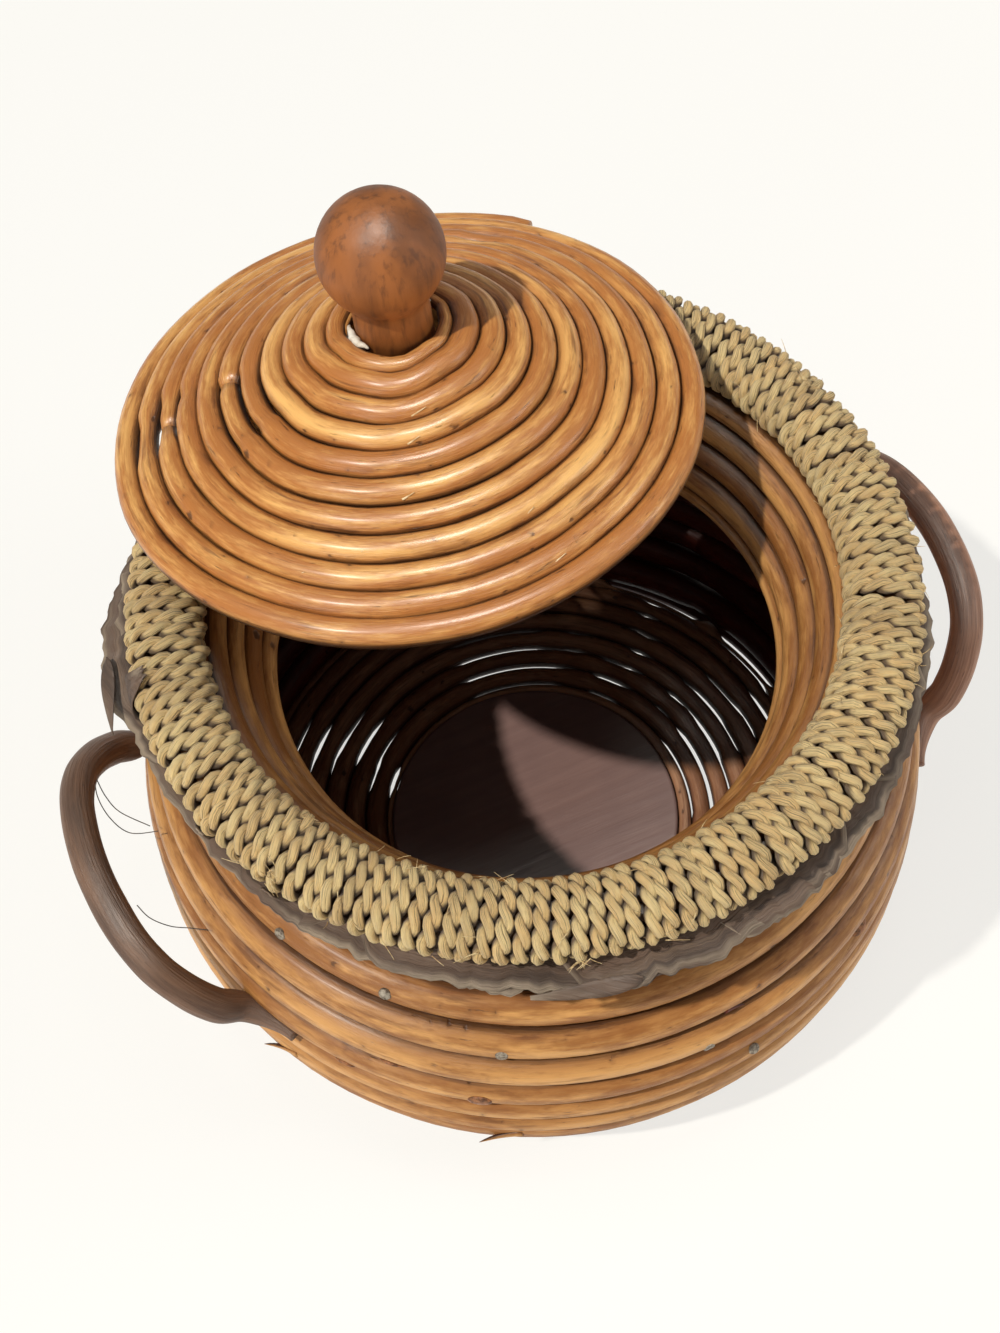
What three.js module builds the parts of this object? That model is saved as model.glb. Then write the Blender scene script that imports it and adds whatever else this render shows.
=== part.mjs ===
// Lidded reed basket: a round-bellied pot of coiled reed with a cord-bound rim, two bent cane
// handles and a coiled cone of a lid that lies askew across the rim.
// Millimetres, Z up, origin at the centre of the underside, handles along X.
import * as THREE from "three";

// Gaps and reed ends
const seatGap = 0.4; // between pieces that touch in the real basket
const coilGap = 0.5; // between one turn of a reed and the next
const wallCoilGap = 0.7; // the same round the bend of the shoulder
const reedTip = 1.2; // radius of a reed where its end is shaved down
const reedSides = 6;

// Floor: a board with thin reed coiled flat round it
const boardRadius = 60;
const boardThickness = 8;
const boardChamfer = 1;
const floorTurns = 7;
const floorSteps = 16; // steps in one turn
const floorSplice = 4; // turn where the second length starts
const floorFirstAngle = 150; // degrees
const floorLift = 0.1; // the reed lies this much clear of what the board stands on
const floorBed = 1.2; // how far the last turn tucks in under the wall's reed

// Wall: the middle line of the thick reed, from the underside to the neck, as shares of the belly's
// radius and of the wall's height
const bellyRadius = 141.2;
const wallHeight = 146;
const wallShape = [
  [0.867, 0.005],
  [0.894, 0.067],
  [0.938, 0.154],
  [0.974, 0.26],
  [0.996, 0.377],
  [1, 0.479],
  [0.984, 0.671],
  [0.946, 0.788],
  [0.904, 0.87],
  [0.839, 0.942],
  [0.754, 0.982],
  [0.7, 1],
];
const wallTurns = 12;
const wallSteps = 20;
const wallSplices = [3.2, 6.3, 9.1];
const wallFirstAngle = 90; // degrees, at the back

// Neck: a funnel of reed above the shoulder, the lid's seat
const neckInset = 8.2; // from the wall's last turn in to the neck's lower edge
const neckDrop = 3.2; // and down to it
const neckFlare = 28; // degrees from upright
const neckSpan = 46.7;
const neckTurns = 5;
const neckSteps = 18;
const neckFirstAngle = 120; // degrees

// Rim: two hoops side by side, bound round with cord, over a skirt of leaf
const rimOverhang = 8.5; // from the neck's upper edge out to the rim's middle line
const rimBed = 3.6; // how far the neck's edge stands up into the rim
const hoopRadius = 3;
const hoopSpread = 3.2; // from the rim's middle line to each hoop
const cordRadius = 3;
const cordReach = 11.3; // half width of the cord's path round the hoops
const cordRise = 7.1; // half height of that path
const cordCurls = 96;
const curlSteps = 8;
const cordSides = 5;
const cordStartAngle = -110; // degrees, where the cord's ends are tucked in at the front
const leafThickness = 1.2;
const leafOverhang = 6.2; // how far the leaf sticks out past the cord
const leafDroop = 8.5;
const leafTuck = 3.4; // how far the leaf goes in over the neck's edge
const leafBed = 0.2; // how far it presses up between the turns of the cord

// Handles: a bent cane whose two ends lie along the belly
const caneRadius = 6.3;
const caneSides = 8;
const caneSteps = 22;
const handleStandOff = 18.5; // how much further out the middle of the loop is than its feet
const handleRise = 35.5;
const handleSlant = 50; // degrees from level, the way that the loop's plane leans
const handleFootHeight = 84.5;
const handleFootLength = 20; // how much of each end lies along the belly
const handleFootSpread = 30.8; // degrees to each end
const handleBed = 1.6; // how far the cane beds into the grooves between the turns
const leftHandleInset = 0.4; // the left handle lies deeper, between two turns of the wall

// Lid: thin reed coiled into a cone round a hole
const lidTurns = 11;
const lidSteps = 18;
const lidReedRadius = 4.29;
const lidHoleRadius = 15.5;
const lidSlope = 26; // degrees
const lidSplices = [5.68, 8.67];
const lidFirstAngle = 43; // degrees
const lidSlide = 70.5; // how far the lid is pushed off the middle
const lidSlideAngle = 97.9; // degrees, the way that it is pushed and tips
const lidTip = 9.8; // degrees
const lidLean = 1.6; // degrees, to the side of the way that it is pushed

// Knob: a ball on a stem through the lid's hole, held by a bar and a screw below
const knobRadius = 21.1;
const knobHeight = 73.3; // ball's middle above the lid's edge
const stemRadius = 13;
const barLength = 44;
const barWidth = 13;
const barThickness = 6;
const barAngle = 67; // degrees
const screwRadius = 2;
const screwHeadRadius = 4.5;
const screwHeadThickness = 2.6;
const screwDepth = 16; // length of the screw inside the stem
const screwClearance = 0.3;

// Colours
const reedColour = 0xc48c50;
const wallColour = 0xb67c45;
const innerColour = 0xa8764c;
const cordColour = 0xc8aa6e;
const leafColour = 0x645041;
const caneColour = 0x734b37;
const knobColour = 0x965a37;
const boardColour = 0x7d5f55;
const steelColour = 0x8d8d8a;

const basket = new THREE.Group();
basket.name = "lidded_reed_basket";

function addPiece(name, geometry, colour, roughness, metalness = 0) {
  const material = new THREE.MeshStandardMaterial({ color: colour, roughness, metalness });
  const mesh = new THREE.Mesh(geometry, material);
  mesh.name = name;
  basket.add(mesh);
}

// The way that a line of centres runs at each of them.
function waysAlong(centres) {
  const last = centres.length - 1;
  return centres.map((centre, i) => {
    const before = centres[Math.max(i - 1, 0)];
    const after = centres[Math.min(i + 1, last)];
    return new THREE.Vector3().subVectors(after, before).normalize();
  });
}

// A closed tube through the centres, with a flat cap on each end. The first corner of each
// section points along its sideways vector.
function tube({ centres, sideways, radii, ways = waysAlong(centres) }, sides) {
  const positions = [];
  const triangles = [];
  const last = centres.length - 1;
  for (let i = 0; i <= last; i++) {
    const along = ways[i];
    const across = sideways[i].clone().addScaledVector(along, -sideways[i].dot(along)).normalize();
    const third = new THREE.Vector3().crossVectors(along, across);
    for (let k = 0; k < sides; k++) {
      const angle = (2 * Math.PI * k) / sides;
      const corner = centres[i].clone();
      corner.addScaledVector(across, radii[i] * Math.cos(angle));
      corner.addScaledVector(third, radii[i] * Math.sin(angle));
      positions.push(corner.x, corner.y, corner.z);
    }
  }
  for (let i = 0; i < last; i++) {
    for (let k = 0; k < sides; k++) {
      const here = i * sides + k;
      const beside = i * sides + ((k + 1) % sides);
      triangles.push(here, beside, beside + sides, here, beside + sides, here + sides);
    }
  }
  for (let k = 1; k < sides - 1; k++) {
    triangles.push(0, k + 1, k);
    triangles.push(last * sides, last * sides + k, last * sides + k + 1);
  }
  const geometry = new THREE.BufferGeometry();
  geometry.setAttribute("position", new THREE.Float32BufferAttribute(positions, 3));
  geometry.setIndex(triangles);
  geometry.computeVertexNormals();
  return geometry;
}

// Full radius of a reed that fills a span in so many turns, shaved down over its first and last.
function reedRadiusFor(span, turns, gap) {
  return ((span - 4 * reedTip - gap) / (turns - 1) - gap) / 2;
}

function reedRadiusAt(coil, turn) {
  const rise = Math.min(turn, 1);
  const fall = coil.shavedEnd ? Math.min(coil.turns - turn, 1) : 1;
  return reedTip + (coil.reedRadius - reedTip) * Math.min(rise, fall);
}

// How far along its profile a reed's middle lies after so many turns: each turn lies against
// the one before, and the first lies against the profile's start.
function coilOffset(coil, turn) {
  if (turn < 1) {
    return reedRadiusAt(coil, turn) + (2 * reedTip + coil.gap) * turn ** 4;
  }
  const step = reedRadiusAt(coil, turn - 1) + reedRadiusAt(coil, turn) + coil.gap;
  return coilOffset(coil, turn - 1) + step;
}

// The middle of a coiled reed after so many turns. Coils run clockwise from above.
function coilSection(coil, turn) {
  const { point, way } = coil.place(coilOffset(coil, turn));
  const angle = THREE.MathUtils.degToRad(coil.firstAngle) - 2 * Math.PI * turn;
  const cos = Math.cos(angle);
  const sin = Math.sin(angle);
  return {
    centre: new THREE.Vector3(point.x * cos, point.x * sin, point.y),
    side: new THREE.Vector3(way.x * cos, way.x * sin, way.y),
    way: new THREE.Vector3(sin, -cos, 0),
  };
}

// The sections of one length of a coiled reed.
function reedLength(coil, from, to) {
  const centres = [];
  const sideways = [];
  const radii = [];
  const ways = [];
  const firstStep = Math.round(from * coil.steps);
  const lastStep = Math.round(to * coil.steps);
  for (let step = firstStep; step <= lastStep; step++) {
    let turn = step / coil.steps;
    const butt = seatGap / 2 / (2 * Math.PI * coil.place(coilOffset(coil, turn)).point.x);
    if (step === firstStep && from > 0) {
      turn += butt;
    }
    if (step === lastStep && to < coil.turns) {
      turn -= butt;
    }
    const { centre, side, way } = coilSection(coil, turn);
    centres.push(centre);
    sideways.push(side);
    ways.push(way);
    radii.push(reedRadiusAt(coil, turn));
  }
  return { centres, sideways, radii, ways };
}

// Least clear distance of a wound tube to itself, on its centres more than half a turn apart.
function printLeastGap(name, { centres, radii }, stepsApart) {
  let least = Infinity;
  for (let i = 0; i < centres.length; i++) {
    for (let j = i + stepsApart; j < centres.length; j++) {
      least = Math.min(least, centres[i].distanceTo(centres[j]) - radii[i] - radii[j]);
    }
  }
  console.log(`${name}: least gap to itself ${least.toFixed(2)} mm`);
}

function addReeds(coil, names, splices, colour, roughness, pose) {
  const cuts = [0, ...splices, coil.turns];
  names.forEach((name, index) => {
    const sections = reedLength(coil, cuts[index], cuts[index + 1]);
    printLeastGap(name, sections, Math.round(coil.steps * 0.6));
    const geometry = tube(sections, reedSides);
    if (pose) {
      geometry.applyMatrix4(pose);
    }
    addPiece(name, geometry, colour, roughness);
  });
}

function straightProfile(start, way) {
  return (offset) => ({ point: start.clone().addScaledVector(way, offset), way });
}

function lathe(points, segments) {
  const outline = points.map(([radius, height]) => new THREE.Vector2(radius, height));
  const geometry = new THREE.LatheGeometry(outline, segments);
  geometry.rotateX(Math.PI / 2);
  return geometry;
}

// Floor
const boardOutline = [
  [0, 0],
  [boardRadius - boardChamfer, 0],
  [boardRadius, boardChamfer],
  [boardRadius, boardThickness - boardChamfer],
  [boardRadius - boardChamfer, boardThickness],
  [0, boardThickness],
];
addPiece("floor_board", lathe(boardOutline, 32), boardColour, 0.6);

const wallPoints = wallShape.map(([r, z]) => new THREE.Vector2(r * bellyRadius, z * wallHeight));
const wallLine = new THREE.SplineCurve(wallPoints);
const wallSpan = wallLine.getLength();
const wallReedRadius = reedRadiusFor(wallSpan, wallTurns, wallCoilGap);
const wallFoot = wallLine.getPointAt(wallReedRadius / wallSpan);

const floorStart = (boardRadius + seatGap) / Math.cos(Math.PI / floorSteps);
const floorSpan = wallFoot.x - wallReedRadius + floorBed - floorStart;
const floorReedRadius = reedRadiusFor(floorSpan, floorTurns, coilGap);
const floorCoil = {
  turns: floorTurns,
  steps: floorSteps,
  gap: coilGap,
  reedRadius: floorReedRadius,
  shavedEnd: true,
  firstAngle: floorFirstAngle,
  place: straightProfile(new THREE.Vector2(floorStart, floorReedRadius + floorLift), new THREE.Vector2(1, 0)),
};
addReeds(floorCoil, ["floor_reed_inner", "floor_reed_outer"], [floorSplice], innerColour, 0.45);

// Wall
const wallCoil = {
  turns: wallTurns,
  steps: wallSteps,
  gap: wallCoilGap,
  reedRadius: wallReedRadius,
  shavedEnd: true,
  firstAngle: wallFirstAngle,
  place: (offset) => {
    const share = Math.min(offset / wallSpan, 1);
    return { point: wallLine.getPointAt(share), way: wallLine.getTangentAt(share) };
  },
};
const wallNames = ["wall_reed_foot", "wall_reed_belly", "wall_reed_upper", "wall_reed_shoulder"];
addReeds(wallCoil, wallNames, wallSplices, wallColour, 0.45);

// Neck
const flare = THREE.MathUtils.degToRad(neckFlare);
const neckWay = new THREE.Vector2(Math.sin(flare), Math.cos(flare));
const wallTop = wallPoints[wallPoints.length - 1];
const neckFoot = new THREE.Vector2(wallTop.x - neckInset, wallTop.y - neckDrop);
const neckTop = neckFoot.clone().addScaledVector(neckWay, neckSpan);
const neckCoil = {
  turns: neckTurns,
  steps: neckSteps,
  gap: coilGap,
  reedRadius: reedRadiusFor(neckSpan, neckTurns, coilGap),
  shavedEnd: true,
  firstAngle: neckFirstAngle,
  place: straightProfile(neckFoot, neckWay),
};
addReeds(neckCoil, ["neck_reed"], [], wallColour, 0.45);

// Rim
const rimRadius = neckTop.x + rimOverhang;
const rimHeight = neckTop.y - rimBed + cordRise + cordRadius;

function addHoop(name, radius) {
  const geometry = new THREE.TorusGeometry(radius, hoopRadius, reedSides, 30);
  geometry.translate(0, 0, rimHeight);
  addPiece(name, geometry, reedColour, 0.5);
}
addHoop("rim_hoop_inner", rimRadius - hoopSpread);
addHoop("rim_hoop_outer", rimRadius + hoopSpread);

function cordSections() {
  const centres = [];
  const sideways = [];
  const steps = cordCurls * curlSteps;
  const sweep = (2 * Math.PI * cordCurls) / (cordCurls + 1);
  for (let step = 0; step <= steps; step++) {
    const round = THREE.MathUtils.degToRad(cordStartAngle) + (sweep * step) / steps;
    const wrap = (2 * Math.PI * (step + 0.5)) / curlSteps - Math.PI / 2;
    const outward = new THREE.Vector3(Math.cos(round), Math.sin(round), 0);
    const centre = outward.clone().multiplyScalar(rimRadius + cordReach * Math.cos(wrap));
    centre.z = rimHeight + cordRise * Math.sin(wrap);
    centres.push(centre);
    sideways.push(outward.clone().multiplyScalar(Math.cos(wrap)).setZ(Math.sin(wrap)));
  }
  // Each end runs on straight under the hoops for one cord diameter.
  const startRun = new THREE.Vector3().subVectors(centres[0], centres[1]).setLength(2 * cordRadius);
  const last = centres.length - 1;
  const endRun = new THREE.Vector3().subVectors(centres[last], centres[last - 1]).setLength(2 * cordRadius);
  startRun.z = 0;
  endRun.z = 0;
  centres.unshift(centres[0].clone().add(startRun));
  sideways.unshift(sideways[0].clone());
  centres.push(centres[last + 1].clone().add(endRun));
  sideways.push(sideways[last + 1].clone());
  return { centres, sideways, radii: centres.map(() => cordRadius) };
}
const cord = cordSections();
printLeastGap("rim_cord", cord, curlSteps - 2);
addPiece("rim_cord", tube(cord, cordSides), cordColour, 0.85);

const leafTop = rimHeight - cordRise - cordRadius + leafBed;
const leafInner = neckTop.x + neckCoil.reedRadius - leafTuck;
const leafReach = rimRadius + cordReach + cordRadius + leafOverhang;
const leafBend = rimRadius + cordReach / 2;
const leafCurl = rimRadius + cordReach + cordRadius / 2;
const leafOutline = [
  [leafInner, leafTop],
  [leafInner, leafTop - leafThickness],
  [leafBend, leafTop - leafThickness],
  [leafCurl, leafTop - leafThickness - leafDroop * 0.25],
  [leafReach - leafThickness / 2, leafTop - leafThickness - leafDroop],
  [leafReach, leafTop - leafDroop],
  [leafCurl, leafTop - leafDroop * 0.2],
  [leafBend, leafTop],
  [leafInner, leafTop],
];
addPiece("rim_leaf", lathe(leafOutline, 32), leafColour, 0.8);

// Handles
const wallBesideFoot = wallLine.getSpacedPoints(200).find((point) => point.y >= handleFootHeight);
const handleFootRadius = wallBesideFoot.x + wallReedRadius + caneRadius - handleBed;
const handleReach = handleFootRadius + handleStandOff;
const handleTop = handleFootHeight + handleRise;

// Half of the loop from its foot: shares of the way in from its reach, of its width and of its rise.
const loopShape = [
  [0.71, 0.94, 0.27],
  [0.46, 0.84, 0.52],
  [0.23, 0.67, 0.76],
  [0.07, 0.4, 0.93],
];

function handlePoints() {
  const foot = THREE.MathUtils.degToRad(handleFootSpread);
  const heel = foot - handleFootLength / handleFootRadius;
  const heelX = handleFootRadius * Math.cos(heel);
  const heelY = handleFootRadius * Math.sin(heel);
  const half = [
    [handleFootRadius * Math.cos(foot), handleFootRadius * Math.sin(foot), handleFootHeight],
    [heelX, heelY, handleFootHeight + handleRise * 0.06],
  ];
  for (const [inward, width, up] of loopShape) {
    const x = handleReach - (handleReach - heelX) * inward;
    half.push([x, heelY * width, handleFootHeight + handleRise * up]);
  }
  const middle = [[handleReach, 0, handleTop]];
  const mirrored = half.slice().reverse().map(([x, y, z]) => [x, -y, z]);
  return [...half, ...middle, ...mirrored].map(([x, y, z]) => new THREE.Vector3(x, y, z));
}

function handleGeometry() {
  const path = new THREE.CatmullRomCurve3(handlePoints(), false, "centripetal");
  const centres = path.getSpacedPoints(caneSteps);
  const slant = THREE.MathUtils.degToRad(handleSlant);
  const facing = new THREE.Vector3(-Math.sin(slant), 0, Math.cos(slant));
  const sideways = centres.map(() => facing);
  const radii = centres.map(() => caneRadius);
  return tube({ centres, sideways, radii }, caneSides);
}
addPiece("handle_right", handleGeometry(), caneColour, 0.55);
const leftHandle = handleGeometry().rotateZ(Math.PI).translate(leftHandleInset, 0, 0);
addPiece("handle_left", leftHandle, caneColour, 0.55);

// Lid, made upright round its own axis with the middle of its outermost turn at height 0
const slope = THREE.MathUtils.degToRad(lidSlope);
const lidWay = new THREE.Vector2(Math.cos(slope), -Math.sin(slope));
const lidCoil = {
  turns: lidTurns,
  steps: lidSteps,
  gap: coilGap,
  reedRadius: lidReedRadius,
  shavedEnd: false,
  firstAngle: lidFirstAngle,
};
const lidRise = coilOffset(lidCoil, lidTurns) * Math.sin(slope);
lidCoil.place = straightProfile(new THREE.Vector2(lidHoleRadius, lidRise), lidWay);

// Least height at which the middle of a lid reed clears the rim binding, at a distance from the axis.
function clearHeightAt(radius) {
  const clear = lidReedRadius + seatGap;
  let height = -Infinity;
  for (let i = 0; i < 72; i++) {
    const angle = (2 * Math.PI * i) / 72;
    const across = radius - rimRadius - (cordReach + cordRadius) * Math.cos(angle);
    if (Math.abs(across) < clear) {
      const crest = rimHeight + (cordRise + cordRadius) * Math.sin(angle);
      height = Math.max(height, crest + Math.sqrt(clear * clear - across * across));
    }
  }
  return height;
}

// The lid is pushed back and tipped, then lowered until it lies on the rim.
function poseLid() {
  const angle = THREE.MathUtils.degToRad(lidSlideAngle);
  const push = new THREE.Vector3(Math.cos(angle), Math.sin(angle), 0);
  const axis = new THREE.Vector3(-push.y, push.x, 0);
  const pose = new THREE.Matrix4().makeRotationAxis(axis, THREE.MathUtils.degToRad(lidTip));
  pose.premultiply(new THREE.Matrix4().makeRotationAxis(push, THREE.MathUtils.degToRad(lidLean)));
  pose.setPosition(push.multiplyScalar(lidSlide));
  const centres = reedLength(lidCoil, lidTurns - 3, lidTurns).centres;
  let lift = -Infinity;
  for (let i = 1; i < centres.length; i++) {
    for (const share of [0, 0.25, 0.5, 0.75, 1]) {
      const placed = centres[i - 1].clone().lerp(centres[i], share).applyMatrix4(pose);
      lift = Math.max(lift, clearHeightAt(Math.hypot(placed.x, placed.y)) - placed.z);
    }
  }
  return new THREE.Matrix4().makeTranslation(0, 0, lift).multiply(pose);
}
const lidPose = poseLid();
const lidNames = ["lid_reed_inner", "lid_reed_middle", "lid_reed_outer"];
addReeds(lidCoil, lidNames, lidSplices, reedColour, 0.4, lidPose);

// Knob
const seatRadius = barLength / 2;
const reedBelow = lidReedRadius / Math.cos(slope);
const barTop = lidRise - (seatRadius - lidHoleRadius) * Math.tan(slope) - reedBelow - seatGap;
const stemBottom = barTop + seatGap;
const boreRadius = screwRadius + screwClearance;
const boreTop = stemBottom + screwDepth + screwClearance;
const stemTop = knobHeight - Math.sqrt(knobRadius ** 2 - stemRadius ** 2);
const knobOutline = [
  [0, boreTop],
  [boreRadius, boreTop],
  [boreRadius, stemBottom],
  [stemRadius - 1, stemBottom],
  [stemRadius, stemBottom + 1],
  [stemRadius, stemTop],
];
const ballStart = Math.asin((stemTop - knobHeight) / knobRadius);
for (let i = 1; i < 9; i++) {
  const angle = ballStart + ((Math.PI / 2 - ballStart) * i) / 9;
  knobOutline.push([knobRadius * Math.cos(angle), knobHeight + knobRadius * Math.sin(angle)]);
}
knobOutline.push([0, knobHeight + knobRadius]);
addPiece("lid_knob", lathe(knobOutline, 18).applyMatrix4(lidPose), knobColour, 0.45);

const barShape = new THREE.Shape();
const barStraight = (barLength - barWidth) / 2;
barShape.absarc(barStraight, 0, barWidth / 2, -Math.PI / 2, Math.PI / 2, false);
barShape.absarc(-barStraight, 0, barWidth / 2, Math.PI / 2, (3 * Math.PI) / 2, false);
const barHole = new THREE.Path();
barHole.absarc(0, 0, boreRadius, 0, 2 * Math.PI, true);
barShape.holes.push(barHole);
const barOptions = { depth: barThickness, bevelEnabled: false, curveSegments: 8 };
const barGeometry = new THREE.ExtrudeGeometry(barShape, barOptions);
barGeometry.rotateZ(THREE.MathUtils.degToRad(barAngle));
barGeometry.translate(0, 0, barTop - barThickness);
addPiece("lid_knob_bar", barGeometry.applyMatrix4(lidPose), innerColour, 0.55);

const headTop = barTop - barThickness - screwClearance;
const screwOutline = [
  [0, headTop - screwHeadThickness],
  [screwHeadRadius - 1.2, headTop - screwHeadThickness],
  [screwHeadRadius, headTop - 0.8],
  [screwHeadRadius, headTop],
  [screwRadius, headTop],
  [screwRadius, stemBottom + screwDepth - 1.5],
  [0, stemBottom + screwDepth],
];
addPiece("lid_knob_screw", lathe(screwOutline, 12).applyMatrix4(lidPose), steelColour, 0.35, 0.9);

export default basket;
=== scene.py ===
import math
import random

import bmesh
import bpy
import numpy as np
from mathutils import Matrix, Vector, noise


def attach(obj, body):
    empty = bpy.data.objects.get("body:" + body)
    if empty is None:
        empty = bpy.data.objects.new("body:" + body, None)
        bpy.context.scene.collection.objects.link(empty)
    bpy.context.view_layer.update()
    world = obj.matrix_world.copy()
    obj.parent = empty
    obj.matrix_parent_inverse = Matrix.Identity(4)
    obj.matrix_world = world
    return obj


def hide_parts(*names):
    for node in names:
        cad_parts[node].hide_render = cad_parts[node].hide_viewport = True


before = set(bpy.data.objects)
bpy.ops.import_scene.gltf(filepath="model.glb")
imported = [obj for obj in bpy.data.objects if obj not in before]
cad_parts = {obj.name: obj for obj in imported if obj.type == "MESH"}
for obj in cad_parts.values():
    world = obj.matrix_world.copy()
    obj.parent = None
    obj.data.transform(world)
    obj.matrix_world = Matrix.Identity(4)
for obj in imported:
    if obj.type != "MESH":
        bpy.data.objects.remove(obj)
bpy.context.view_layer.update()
mm = 0.001
scene = bpy.context.scene
scene.view_settings.view_transform = "Standard"


def srgb(red, green, blue):  # 0 to 255 as seen on screen, to the linear values that sockets take
    values = []
    for value in (red, green, blue):
        share = value / 255
        values.append(share / 12.92 if share < 0.04045 else ((share + 0.055) / 1.055) ** 2.4)
    return (*values, 1)


def wave(*place):  # smooth noise between -1 and 1
    return noise.noise(Vector((*place, 0, 0, 0)[:3]))


def ease(share):  # 0 to 1 with soft ends
    share = min(max(share, 0), 1)
    return share * share * (3 - 2 * share)


def ringPoint(radius, angle, height=0):  # a point round the axis
    return Vector((radius * math.cos(angle), radius * math.sin(angle), height))


def unit(rows):  # each row brought to length 1
    return rows / np.linalg.norm(rows, axis=1)[:, None]


def squareTo(along, across):  # the rows of across, turned square to those of along
    return unit(across - along * (across * along).sum(1)[:, None])


def lengthsAlong(points):  # how far along a line each of its points lies
    return np.r_[0, np.cumsum(np.linalg.norm(np.diff(points, axis=0), axis=1))]


def shares(steps):  # 0 to 1 in equal steps
    return [step / steps for step in range(steps + 1)]


# Node helpers
def addNode(tree, kind, inputs=None, **settings):
    node = tree.nodes.new(kind)
    for name, value in settings.items():
        setattr(node, name, value)
    for name, value in (inputs or {}).items():
        if isinstance(value, bpy.types.NodeSocket):
            tree.links.new(value, node.inputs[name])
        else:
            node.inputs[name].default_value = value
    return node


def sums(tree, operation, first, second=0.0):
    return addNode(tree, "ShaderNodeMath", {0: first, 1: second}, operation=operation).outputs[0]


def times(tree, first, second):
    return sums(tree, "MULTIPLY", first, second)


def weighted(tree, *pairs):  # a sum of patterns, each with its weight
    total = times(tree, *pairs[0])
    for pair in pairs[1:]:
        total = sums(tree, "ADD", total, times(tree, *pair))
    return total


def roughened(tree, value, pattern, amount):  # a value made uneven by a pattern
    return sums(tree, "ADD", value, times(tree, sums(tree, "SUBTRACT", pattern, 0.5), amount))


def remap(tree, value, low, high, toLow=0.0, toHigh=1.0, steps="SMOOTHSTEP"):
    limits = {"Value": value, "From Min": low, "From Max": high, "To Min": toLow, "To Max": toHigh}
    return addNode(tree, "ShaderNodeMapRange", limits, interpolation_type=steps).outputs[0]


def mixColours(tree, factor, first, second, blend="MIX"):
    inputs = {0: factor, 6: first, 7: second}
    return addNode(tree, "ShaderNodeMix", inputs, data_type="RGBA", blend_type=blend).outputs[2]


def layer(tree, colour, pattern, low, high, share, over):  # a colour laid on where a pattern is strong
    return mixColours(tree, remap(tree, pattern, low, high, 0.0, share), colour, over)


def noiseValue(tree, vector, scale, detail=3.0, roughness=0.55):
    inputs = {"Vector": vector, "Scale": scale, "Detail": detail, "Roughness": roughness}
    return addNode(tree, "ShaderNodeTexNoise", inputs).outputs["Fac"]


def stretched(tree, vector, scale, shift=(0, 0, 0)):  # a pattern drawn out along one axis
    inputs = {"Vector": vector, "Scale": scale, "Location": shift}
    return addNode(tree, "ShaderNodeMapping", inputs).outputs[0]


def drawn(tree, vector, scale, detail=3.0, roughness=0.55):  # noise on a drawn out pattern
    return noiseValue(tree, stretched(tree, vector, scale), 1.0, detail, roughness)


def attribute(tree, name, output="Vector"):
    return addNode(tree, "ShaderNodeAttribute", attribute_name=name).outputs[output]


def objectSpot(tree):
    return addNode(tree, "ShaderNodeTexCoord").outputs["Object"]


def newMaterial(name, fixed=None):
    material = bpy.data.materials.new(name)
    material.use_nodes = True
    shader = material.node_tree.nodes["Principled BSDF"]
    for socket, value in (fixed or {}).items():
        shader.inputs[socket].default_value = value
    return material, material.node_tree, shader


def paint(tree, shader, colour, pattern, low, high):  # a colour, and a roughness that follows a pattern
    tree.links.new(colour, shader.inputs["Base Color"])
    rough = remap(tree, pattern, 0.3, 0.7, low, high, "LINEAR")
    tree.links.new(rough, shader.inputs["Roughness"])


def bumpInto(tree, shader, height, distance, strength=1.0):
    inputs = {"Height": height, "Distance": distance, "Strength": strength}
    bump = addNode(tree, "ShaderNodeBump", inputs)
    tree.links.new(bump.outputs[0], shader.inputs["Normal"])


# Camera, floor and light
cameraSettings = {
    "place": (-0.12881, -0.32427, 0.75514),
    "lookAt": (-0.00855, 0.00475, 0.1342),
    "roll": -4.56,  # degrees
    "focalLength": 1962,  # pixels, on an image 1333 high
    "imageHeight": 1333,
    "sensorHeight": 36,
    "nearest": 0.01,
}


def makeCamera(settings):
    data = bpy.data.cameras.new("photoCamera")
    data.sensor_fit = "VERTICAL"
    data.sensor_height = settings["sensorHeight"]
    data.lens = settings["sensorHeight"] * settings["focalLength"] / settings["imageHeight"]
    data.clip_start = settings["nearest"]
    camera = bpy.data.objects.new("photoCamera", data)
    scene.collection.objects.link(camera)
    place = Vector(settings["place"])
    back = (place - Vector(settings["lookAt"])).normalized()
    right = Vector((0, 0, 1)).cross(back).normalized()
    up = back.cross(right)
    roll = math.radians(settings["roll"])
    right, up = right * math.cos(roll) + up * math.sin(roll), up * math.cos(roll) - right * math.sin(roll)
    camera.matrix_world = Matrix.Translation(place) @ Matrix((right, up, back)).transposed().to_4x4()
    scene.camera = camera


makeCamera(cameraSettings)

lightSettings = {
    # name, kind, power, azimuth and elevation in degrees, distance, size (degrees for the sun), colour
    "lamps": [
        ("keyLight", "SUN", 2.65, -174, 59.8, 2, 1.6, (1.0, 0.96, 0.88)),  # read from the lit patch inside
        ("ceilingLight", "AREA", 28.0, 0, 90, 1.5, 0.4, (1.0, 0.95, 0.86)),
        ("roomLight1", "AREA", 5.5, -25, 31, 1.4, 0.5, (1.0, 0.96, 0.9)),  # soft light from two sides
        ("roomLight2", "AREA", 3.0, -150, 20, 1.4, 0.5, (1.0, 0.96, 0.9)),
    ],
    "shineOnly": "ceilingLight",  # shows only as a shine on the rods
    "skyColour": (1.0, 0.985, 0.955, 1),
    "skyStrength": 0.23,
    "skySeen": 0.98,  # what the camera sees beyond the floor
}


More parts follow.
